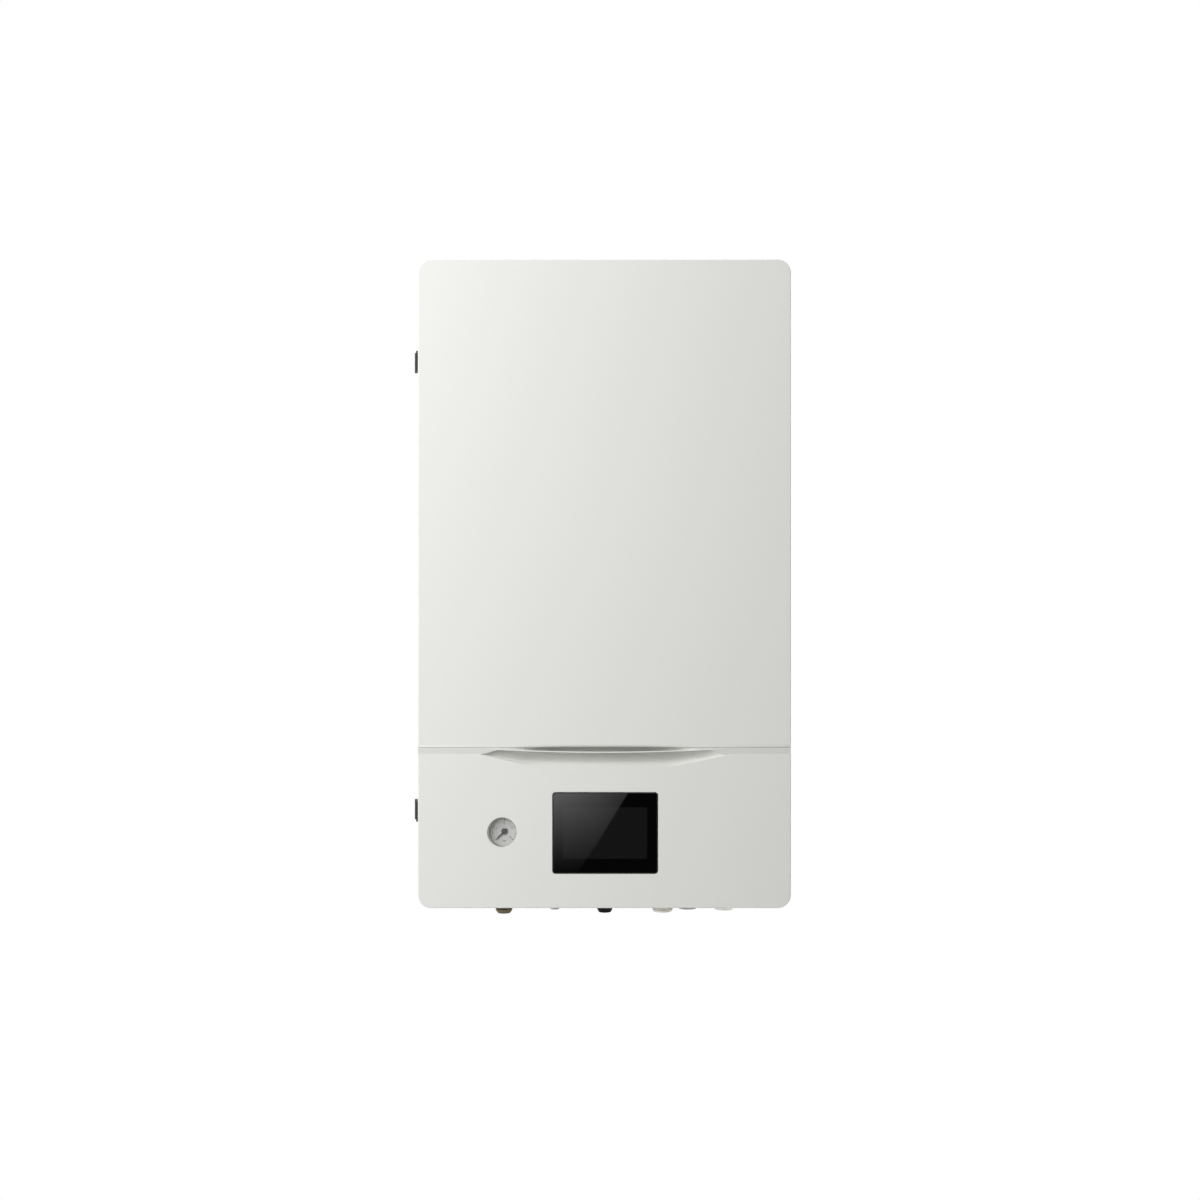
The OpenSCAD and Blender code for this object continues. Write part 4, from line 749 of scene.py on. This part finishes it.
def fascia_ribs():
    """Ribs on the inside of the fascia, a frame round the screen's hole and a collar round the gauge's."""
    face, frame_back, rib_back, half_t = CAB_D - FASCIA_T + 0.2, 310.5, 312.5, 0.9
    side_x, foot_z, head_z = 210, 24, 160
    wide, tall = GLASS_W / 2 + 4.5, GLASS_H / 2 + 4.5
    ribs = []

    def upright(x, back, z0, z1):
        ribs.append(bar(x - half_t, x + half_t, back, face, z0, z1))

    def level(z, back, x0, x1):
        ribs.append(bar(x0, x1, back, face, z - half_t, z + half_t))

    for x in (-196, -150, 108, 152, 196):
        upright(x, rib_back, 14, head_z)
    for z in (foot_z, head_z):
        level(z, rib_back, -side_x, side_x)
    for side in (-1, 1):
        upright(GLASS_X + side * wide, frame_back, GLASS_Z - tall, GLASS_Z + tall)
        level(GLASS_Z + side * tall, frame_back, GLASS_X - wide, GLASS_X + wide)
    collar = [(22.5, face), (22.5, frame_back + 0.4), (22.9, frame_back), (24.1, frame_back),
              (24.5, frame_back + 0.4), (24.5, face), (22.5, face)]
    ribs.append(turned(collar, GAUGE_X, 0, GAUGE_Z, "y"))
    weigh_normals(make_piece("fascia_ribs", ribs, "white_plastic", "door"))


fascia()
seam_ledge()
fascia_ribs()
trim_strip()


# Touch screen and pressure gauge

ON_DIAL = Matrix.Translation((GAUGE_X, 0, GAUGE_Z))


def touch_screen():
    glass = plate(GLASS_X, GLASS_Z, GLASS_W, GLASS_H, GLASS_R, CAB_D - GLASS_T, CAB_D)
    soften(glass, 0.5, 3, edges=[e for e in glass.edges if lies_at(e, "y", -CAB_D)])
    weigh_normals(make_piece("touch_screen", glass, "black_glass", stands_for=["display_glass"]))


def printed(text, x, z, size):
    """A word or number on the dial, slightly raised and centred on a point."""
    words = bpy.data.curves.new("numeral", "FONT")
    words.body = text
    words.size = size
    words.align_x, words.align_y = "CENTER", "CENTER"
    words.extrude = 0.05
    words.resolution_u = 3
    holder = bpy.data.objects.new("numeral", words)
    mesh = bpy.data.meshes.new_from_object(holder)
    bm = bmesh.new()
    bm.from_mesh(mesh)
    move(bm, Matrix.Translation((x, -DIAL_D - 0.03, z)) @ TO_ROOM)
    bpy.data.objects.remove(holder)
    bpy.data.curves.remove(words)
    bpy.data.meshes.remove(mesh)
    return bm


def bearing(reading):
    """Where a reading lies on the dial, anticlockwise from the right."""
    return math.radians(ZERO_BEARING - SCALE_SWEEP * reading / FULL_SCALE)


def gauge_turned(profile, steps=72):
    return turned(profile, GAUGE_X, 0, GAUGE_Z, "y", steps)


def dial_scale():
    """The dial's marks, long at whole bars, middling at halves, with the numbers inside them."""
    marks = []
    per_bar, scale_r, number_r, number_size, unit_drop, unit_size = 10, 15.4, 10.2, 3.7, 11.6, 3.6
    for i in range(FULL_SCALE * per_bar + 1):
        length, width = (2.8, 0.65) if i % per_bar == 0 else (2.0, 0.42) if i % 5 == 0 else (1.2, 0.26)
        tick = bar(scale_r - length, scale_r, DIAL_D - 0.02, DIAL_D + 0.06, -width / 2, width / 2, 0)
        move(tick, ON_DIAL @ Matrix.Rotation(-bearing(i / per_bar), 4, "Y"))
        marks.append(tick)
    for number in range(FULL_SCALE + 1):
        x = GAUGE_X + number_r * math.cos(bearing(number))
        z = GAUGE_Z + number_r * math.sin(bearing(number))
        marks.append(printed(str(number), x, z, number_size))
    marks.append(printed("bar", GAUGE_X, GAUGE_Z - unit_drop, unit_size))
    return marks


def pressure_gauge():
    dial = gauge_turned([(0, DIAL_D - 1), (DIAL_R, DIAL_D - 1), (DIAL_R, DIAL_D - 0.15),
                         (DIAL_R - 0.15, DIAL_D), (0, DIAL_D)])
    make_piece("dial_plate", dial, "dial_white", stands_for=["gauge_dial"])
    make_piece("dial_marks", dial_scale(), "black_plastic")
    lens = gauge_turned([(0, LENS_D), (DIAL_R, LENS_D), (DIAL_R, LENS_D + 0.9), (DIAL_R - 3, LENS_D + 1.15),
                         (DIAL_R / 2, LENS_D + 1.35), (0, LENS_D + 1.4)])
    make_piece("gauge_lens", lens, "clear_lens", stands_for=["gauge_glass"])


def gauge_pointer():
    """Pointer at its zero stop: a tapered blade with a short tail, and a round hub on its shaft."""
    outline = [(-1.2, -4.4), (1.2, -4.4), (1.1, 0), (0.42, 13.8), (-0.42, 13.8), (-1.1, 0)]
    blade = bmesh.new()
    blade.faces.new([blade.verts.new((x, -NEEDLE_D, z)) for x, z in outline])
    thicken(blade, blade.faces[:], 0.5)
    soften(blade, 0.12)
    move(blade, ON_DIAL @ Matrix.Rotation(math.radians(90 - ZERO_BEARING), 4, "Y"))
    hub = gauge_turned([(0, DIAL_D - 7), (1, DIAL_D - 7), (1, NEEDLE_D - 0.4), (3.7, NEEDLE_D - 0.4),
                        (3.7, NEEDLE_D + 0.5), (3.3, NEEDLE_D + 1.0), (1.5, NEEDLE_D + 1.1),
                        (0, NEEDLE_D + 1.1)], 48)
    make_piece("pointer_blade", [blade, hub], "black_plastic", "pointer", ["gauge_needle"])


touch_screen()
pressure_gauge()
gauge_pointer()


# Connections under the cabinet: unions with real threads, and the cable gland


def thread(r, z0, z1, pitch):
    """Points of a thread's crests and roots from z0 down to z1, as (radius, height) pairs."""
    turns = int((z0 - z1) / pitch)
    points = []
    for i in range(turns):
        z = z0 - i * pitch
        points += [(r - 0.6 * pitch, z), (r, z - 0.42 * pitch), (r, z - 0.58 * pitch)]
    return points


def union(x, d, r, bore, end, across, hex_end, chamfer, pitch=1.8):
    """A threaded stub and its nut, open through the middle, from inside the cabinet down to its end."""
    top, shoulder, root = 22, end + chamfer, r - 0.6 * pitch
    profile = [(bore, top), (bore, end + 0.5), (bore + 0.5, end), (r - chamfer, end), (r - 0.5, shoulder)]
    profile += reversed(thread(r, hex_end - 1.2, shoulder, pitch))
    profile += [(root, hex_end - 0.5), (root, -3), (r, -2.5)]
    profile += reversed(thread(r, top - 1.0, 0.5, pitch))
    profile += [(r - 1.0, top - 0.6), (r - 1.4, top), (bore, top)]
    stub = turned(profile, x, d, 0, steps=56)

    nut_top, nut_wall = -0.2, 1.2
    nut = hexagon(across, nut_top - hex_end)
    tips = [v for f in nut.faces if len(f.verts) == 6 for v in f.verts]
    round_corners(nut, tips, across * 0.09, 3)
    soften(nut, 0.35)
    move(nut, Matrix.Translation((x, -d, (hex_end + nut_top) / 2)))
    opening = [f for f in nut.faces if len(f.verts) > 8 and abs(f.normal.z) > 0.9]
    bmesh.ops.inset_region(nut, faces=opening, thickness=across / 2 - bore - nut_wall, depth=0)
    bmesh.ops.delete(nut, geom=opening, context="FACES")
    return [stub, nut]


def gland():
    """Cable gland: threaded body, nut and a ribbed cap that closes on the cable."""
    profile = [(6, 10), (6, -33), (6.6, -33.5), (8, -33.5), (9.4, -31), (10.8, -27), (11.3, -25.4),
               (11.3, -24.4), (10.9, -24), (10.9, -11), (11.3, -10.5), (11.3, -9.2), (10.2, -9), (10.2, -1)]
    profile += reversed(thread(10, 9.5, 0.5, 1.5))
    profile += [(9.2, 10), (6, 10)]
    nut = hexagon(21.6, 8.8)
    soften(nut, 0.6)
    move(nut, Matrix.Translation((GLAND_X, -ROW_D, -4.6)))
    ribs = ring_of(lambda: bar(-0.55, 0.55, 10.6, 11.6, -23.6, -11.4, 0.25), 24, (GLAND_X, -ROW_D, 0), "Z")
    make_piece("gland_body", [turned(profile, GLAND_X, ROW_D, 0), nut] + ribs, "gland_nylon",
               stands_for=["cable_gland"], slot="black_plastic")


gas = union(GAS_X, ROW_D, 11.1, 6.95, -34.7, 27, -13, 3.0, 1.8)
make_piece("gas_union", gas, "tarnished_brass", stands_for=["flare_unions"], slot="brass")
liquid = union(LIQUID_X, ROW_D, 7.95, 3.75, -29.7, 21, -13, 2.2, 1.4)
make_piece("liquid_union", liquid, "gauge_metal", stands_for=["flare_unions"], slot="bright_steel")
water = union(OUTLET_X, OUTLET_D, 13.2, 10, -26.8, 34, -12, 0.9)
water += union(INLET_X, ROW_D, 13.2, 10, -29.7, 34, -12, 0.9)
make_piece("water_stubs", water, "grey_fitting", stands_for=["water_unions"])
gland()


# Cabinet and inside: the frame's solids with eased edges


def eased(name, node, width):
    """A copy of a frame solid with its triangles merged and its sharp edges rounded."""
    source = frame["nodes"][node]
    bm = bmesh.new()
    bm.from_mesh(source.data)
    bmesh.ops.remove_doubles(bm, verts=bm.verts, dist=0.000002)
    bmesh.ops.dissolve_limit(bm, angle_limit=math.radians(0.6), verts=bm.verts, edges=bm.edges,
                             use_dissolve_boundaries=False, delimit=set())
    soften(bm, width * mm)
    weigh_normals(make_piece(name, bm, SLOT_OF[node], source["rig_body"], [node], in_metres=True))


# Piece, the solid that it stands for, and the width of its rounded edges
for name, node, width in (
        ("left_side_shell", "left_side_panel", 0.5), ("right_side_shell", "right_side_panel", 0.5),
        ("top_shell", "top_panel", 0.5), ("bottom_shell", "bottom_plate", 0.4),
        ("rear_sheet", "back_panel", 0.4), ("hanging_rail", "wall_rail", 0.3),
        ("hinge_cabinet_half", "hinge_leaves", 0.25), ("hinge_door_half", "door_hinge_leaves", 0.25),
        ("catch_housings", "magnet_catches", 0.8), ("catch_keepers", "strike_plates", 0.2),
        ("screen_housing", "display_housing", 0.6), ("bracket_sheet", "instrument_bracket", 0.3),
        ("door_rim", "door_frame", 0.3), ("box_shell", "control_box", 0.3),
        ("box_cover", "control_box_cover", 0.25), ("terminals", "terminal_block", 0.4),
        ("contactor_bodies", "contactors", 0.9), ("gauge_housing", "gauge_case", 0.4),
        ("filter_body", "strainer", 0.7), ("flow_sensor_body", "flow_sensor", 0.7),
        ("tee_body", "return_tee", 0.7), ("volute", "pump_housing", 1.0),
        ("motor_housing", "pump_motor", 1.0), ("safety_valve_body", "relief_valve", 0.6),
        ("mounting_brackets", "component_brackets", 0.3), ("cutout_body", "thermal_cutout", 0.4),
        ("vent_body", "air_vent", 0.4), ("tightening_nuts", "lock_nuts", 0.5)):
    eased(name, node, width)


# Screws, pressings and fittings that the frame's solids carry


def screw_head(x, d, z, r, height, along="y", outward=1):
    """Low round head with a drive recess, from its seat outwards along an axis."""
    points = [(0, height * 0.35), (r * 0.36, height * 0.35), (r * 0.42, height), (r * 0.72, height * 0.95),
              (r, height * 0.4), (r, -0.2), (0, -0.2)]
    return turned([(across, outward * rise) for across, rise in points], x, d, z, along, 20)


def screws_on_hinges():
    leaf_x, hole_step = -232.3, 6.25
    heights = [z + step for z in (119, 675) for step in (-hole_step, hole_step)]
    for name, body, d in (("hinge_screws", "cabinet", 281.4), ("door_hinge_screws", "door", 308.6)):
        heads = [screw_head(leaf_x, d, z, 2.3, 0.8, "x", -1) for z in heights]
        make_piece(name, heads, "bright_steel", body)


def rear_pressing():
    """A stepped field, louvres and rings pressed towards the wall, which stiffen the back sheet."""
    field_z, louvres, first_z, step = 385, 9, 64, 6
    fields = [plate(0, field_z, 350, 520, 26, 10.9, 12.3, 0.6),
              plate(0, field_z, 300, 470, 18, 9.9, 11.2, 0.5)]
    for z in range(first_z, first_z + louvres * step, step):
        fields += [bar(x - 45, x + 45, 9.4, 12.4, z, z + 2.6, 0.9) for x in (-70, 70)]
    ring = [(15, 12.3), (15, 11.2), (15.6, 10.7), (16.8, 10.7), (17.4, 11.2), (17.4, 12.3), (15, 12.3)]
    fields += [turned(ring, x, 0, z, "y", 40) for x in (-150, 150) for z in (685, 84)]
    weigh_normals(make_piece("rear_pressing", fields, "zinc_steel"))


def moulded_foam():
    """The door's insulation: a foam moulding with a grid of shallow pockets towards the inside."""
    x0, x1, z0, z1, inner_d, outer_d = -218, 218, 208.5, 788, 304.6, 318.5
    bm = bmesh.new()
    bmesh.ops.create_grid(bm, x_segments=4, y_segments=6, size=0.5)
    for v in bm.verts:
        v.co = (x0 + (v.co.x + 0.5) * (x1 - x0), -inner_d, z0 + (v.co.y + 0.5) * (z1 - z0))
    thicken(bm, bm.faces[:], outer_d - inner_d)
    pockets = [f for f in bm.faces if lies_at(f, "y", -inner_d)]
    upright = [e for e in bm.edges if len(e.link_faces) == 2 and e.calc_face_angle(0) > 1
               and abs(e.verts[0].co.y - e.verts[1].co.y) > 5]
    for inset, depth in ((9, -3.2), (14, 1.6)):
        bmesh.ops.inset_individual(bm, faces=pockets, thickness=inset, depth=depth)
    soften(bm, 3.5, 4, edges=upright)
    soften(bm, 1.1)
    weigh_normals(make_piece("moulded_foam", bm, "foam", "door", ["door_insulation"]))


def control_box_details():
    """The cover's pressing, the screws of terminals and contactors, and the contactors' sliders."""
    cover_x, cover_z, contactor_rows = -69, 268, (260, 328)
    pressing = [plate(cover_x, cover_z, 262, 150, 12, 288.0, 288.8, 0.4),
                plate(cover_x, cover_z, 246, 134, 8, 288.6, 289.3, 0.4)]
    weigh_normals(make_piece("cover_pressing", pressing, "zinc_steel"))
    terminals, first_x, step, terminal_z, lift = 14, -192.6, 13, 209, 11.33
    screws = [screw_head(first_x + step * i, 247.4, terminal_z + side * lift, 2.6, 1.6)
              for i in range(terminals) for side in (-1, 1)]
    screws += [screw_head(x, 258.3, z + up, 3.0, 1.4)
               for z in contactor_rows for x in (5, 20, 35) for up in (6, 54)]
    make_piece("terminal_screws", screws, "bright_steel")
    sliders = [plate(20, z + 30, 10, 16, 1.5, 274.2, 275.6, 0.4) for z in contactor_rows]
    make_piece("contactor_sliders", sliders, "black_plastic")


def board_details():
    """Transformer, processor, relays, capacitors, chips and plugs on the main board."""
    seat = 232.6
    transformer = plate(-171, 368, 41, 37, 1.2, seat, 257.8, 0.6)
    processor = plate(-93, 282, 24.8, 24.8, 0.4, seat, 237.2, 0.3)
    relays = [plate(-46 - 24 * i, 377, 18.8, 14.8, 0.6, seat, 248.4, 0.5) for i in range(4)]
    capacitor_z, capacitor_places = 275, [-183 + 22 * i for i in range(3)]
    sleeve = [(0, seat), (8.3, seat), (8.3, 260.6), (7.7, 261.2), (6.8, 261.3), (6.6, 260.4), (0, 260.4)]
    lid = [(0, 260.3), (6.7, 260.3), (6.7, 261.1), (0, 261.2)]
    sleeves = [turned(sleeve, x, 0, capacitor_z, "y", 32) for x in capacitor_places]
    lids = [turned(lid, x, 0, capacitor_z, "y", 32) for x in capacitor_places]
    chips = []
    for i in range(12):
        for row in range(3):
            x, z = -138 + 9 * i, 300 + 14 * row + 2 * (i % 3)
            chips.append(bar(x, x + 3.2, seat, seat + 1.2, z, z + 1.8, 0.15))
    plugs = [plate(-184 + 21 * i, 251.5, 15, 8.5, 0.6, seat, 242, 0.4) for i in range(8)]
    make_piece("board_parts", [transformer, processor] + relays + sleeves, "black_plastic")
    make_piece("capacitor_tops", lids + chips, "bright_steel")
    make_piece("board_plugs", plugs, "grey_plastic")


def catch_poles():
    poles = [plate(206.6, z + side * 9, 12, 9, 0.6, 293.6, 294.75, 0.15)
             for z in (310.5, 680) for side in (-1, 1)]
    make_piece("catch_poles", poles, "bright_steel")


def exchanger_plates():
    """Edges of the brazed plates, proud of the stack between its two end plates."""
    first_d, pitch, plate_t = 43.4, 2.9, 1.5
    starts = [first_d + pitch * i for i in range(20)]
    rims = [plate(-107, 275, 110.2, 289.2, 17.6, d, d + plate_t, 0.35, 6) for d in starts]
    make_piece("exchanger_plate_edges", rims, "bright_steel")


def pump_details():
    """Cooling ribs, screws and the speed knob on the front of the pump's motor."""
    x, z = 158, 234
    ribs = ring_of(lambda: bar(41.5, 45.6, 221, 263.5, -0.8, 0.8, 0.35), 30, (x, 0, z), "Y")
    make_piece("motor_ribs", ribs, "motor_green")
    screws = [screw_head(x + 38 * i, 285.1, z + 35 * j, 3.2, 1.6) for i in (-1, 1) for j in (-1, 1)]
    make_piece("motor_screws", screws, "bright_steel")
    panel = plate(x, z, 56, 44, 6, 284.6, 286.2, 0.5)
    knob = turned([(0, 286), (9, 286), (9, 288.4), (8.2, 289.2), (0, 289.2)], x, 0, z, "y", 36)
    mark = bar(x - 1, x + 1, 289, 289.8, z - 7.5, z + 7.5)
    make_piece("motor_panel", [panel, knob, mark], "black_plastic")


def vessel_details():
    """The crimped seam round the expansion vessel, and its valve cap."""
    vessel_z = 600
    seam = [(163.6, 52.4), (164.9, 53.2), (165, 56), (165, 59.2), (164.9, 62), (163.6, 62.8), (160, 61),
            (160, 54), (163.6, 52.4)]
    make_piece("vessel_seam", turned(seam, 0, 0, vessel_z, "y", 128), "red_enamel")
    cap = [(0, 106), (7.2, 106), (8.6, 101.5), (9.2, 101.5), (9.2, 108.6), (8.2, 109.8), (0, 110)]
    make_piece("valve_cap", turned(cap, 0, 0, vessel_z, "y", 24), "black_plastic")


def cable_ties():
    """Ties round the long cable, each a band with its square head."""
    band = [(2.4, -1.6), (3.1, -1.6), (3.3, -1.2), (3.3, 1.2), (3.1, 1.6), (2.4, 1.6), (2.4, -1.6)]
    ties = []
    for z in (470, 400, 330, 262, 196):
        ties.append(turned(band, 85, 251.9, z, steps=24))
        ties.append(bar(86.6, 90.2, 249.8, 253.8, z - 2.4, z + 2.4, 0.5))
    make_piece("cable_ties", ties, "grey_plastic")


screws_on_hinges()
rear_pressing()
moulded_foam()
control_box_details()
board_details()
catch_poles()
exchanger_plates()
pump_details()
vessel_details()
cable_ties()


# Light, floor and camera


def studio_light(name, spot, aim, size, watts, glossy=True):
    """A square lamp at a spot in metres, turned to its aim."""
    light = bpy.data.lights.new(name, "AREA")
    light.shape = "SQUARE"
    light.size = size
    light.energy = watts
    lamp = bpy.data.objects.new(name, light)
    lamp.location = spot
    lamp.rotation_euler = (Vector(aim) - Vector(spot)).to_track_quat("-Z", "Y").to_euler()
    lamp.visible_camera = False
    lamp.visible_glossy = glossy
    scene.collection.objects.link(lamp)


studio_light("key_light", (-1.754, -1.697, 0.592), (-1.044, -0.32, -0.32), 2.4, 82.3, False)
studio_light("top_light", (0, -0.16, 1.5), (0, -0.16, 0), 0.8, 5.0)
studio_light("side_fill", (2.0, 0.5, 0.6), (0, -0.16, -0.34), 1.4, 20.0, False)
studio_light("back_fill", (-0.5, 2.2, 0.5), (0, 0, -0.34), 1.4, 16.0, False)


def pale_world():
    """White to the eye, in mirrors and through glass, and a plainer grey for what it lights."""
    ambient = 0.116
    world = bpy.data.worlds.new("pale_room")
    scene.world = world
    world.use_nodes = True
    tree = world.node_tree
    path = tree.nodes.new("ShaderNodeLightPath").outputs
    seen = maths(tree, "MAXIMUM", path["Is Camera Ray"],
                 maths(tree, "MAXIMUM", path["Is Glossy Ray"], path["Is Transmission Ray"]))
    backdrop = tree.nodes["Background"]
    backdrop.inputs["Color"].default_value = (1, 1, 1, 1)
    feed(tree, backdrop.inputs["Strength"], maths(tree, "MULTIPLY_ADD", seen, 1 - ambient, ambient))


def stage_object(name, bm, look):
    """Puts a shape that belongs to the studio, and not to the unit, in the scene."""
    mesh = as_mesh(name, bm)
    mesh.materials.append(look)
    staged = bpy.data.objects.new(name, mesh)
    scene.collection.objects.link(staged)
    return staged


def floor():
    bm = bmesh.new()
    bmesh.ops.create_circle(bm, cap_ends=True, radius=1.5, segments=96,
                            matrix=Matrix.Translation((0, -0.15, bottom_z - 1.0)))
    made, tree, shader = material("pale_floor", Roughness=0.8)
    tone = noise(tree, object_place(tree), 3.0)
    feed(tree, shader.inputs["Base Color"], mixed(tree, tone, (0.84, 0.84, 0.835, 1), (0.87, 0.87, 0.865, 1)))
    stage_object("floor", bm, made)


def reflector(name, outline, d, glow):
    """A card that only mirrors see, in front of the unit at distance d from the wall."""
    bm = bmesh.new()
    bm.faces.new([bm.verts.new((x, -d, z)) for x, z in outline])
    move(bm, PLACE)
    card = stage_object(name, bm, glow)
    card.visible_camera = card.visible_diffuse = card.visible_shadow = False
    card.visible_transmission = False


def card_glow(name, lower, upper, z0, z1, fade=0.0):
    """A card's own brightness, which grows from its lower to its upper edge and fades to the right."""
    fade_x, fade_width = -0.13, 0.17
    made = bpy.data.materials.new(name)
    made.use_nodes = True
    tree = made.node_tree
    tree.nodes.remove(tree.nodes["Principled BSDF"])
    place = split(tree, object_place(tree))
    rise = maths(tree, "DIVIDE", maths(tree, "SUBTRACT", place["Z"], z0), z1 - z0, clamp=True)
    across = maths(tree, "DIVIDE", maths(tree, "SUBTRACT", place["X"], fade_x), fade_width, clamp=True)
    faded = maths(tree, "MULTIPLY_ADD", across, -fade, 1.0)
    share = maths(tree, "MULTIPLY", maths(tree, "MULTIPLY", rise, rise), faded)
    glow = tree.nodes.new("ShaderNodeEmission")
    feed(tree, glow.inputs["Strength"], maths(tree, "MULTIPLY_ADD", share, upper - lower, lower))
    feed(tree, tree.nodes["Material Output"].inputs["Surface"], glow.outputs[0])
    return made


pale_world()
floor()
reflector("dark_card", [(-420, -450), (420, -450), (420, 30), (-420, 30)], 2300,
          card_glow("dark_card", 0.02, 0.02, -1, 1))
reflector("bright_card", [(-172, -459), (-7.4, -210), (51.4, -113.5), (100, -37), (100, 30), (-300, 30),
                          (-300, -459)], 2295, card_glow("bright_card", 0.0, 3.0, -1.06, -0.83, 0.72))

camera = bpy.data.cameras.new("camera")
camera.lens = 53.53
camera.sensor_width = 36
camera.clip_end = 50
camera.shift_y = -0.0216
viewer = bpy.data.objects.new("camera", camera)
viewer.location = (-0.0054, -2.52, -0.328)
viewer.rotation_euler = (math.pi / 2, 0, 0)
scene.collection.objects.link(viewer)
scene.camera = viewer

scene.view_settings.view_transform = "Standard"
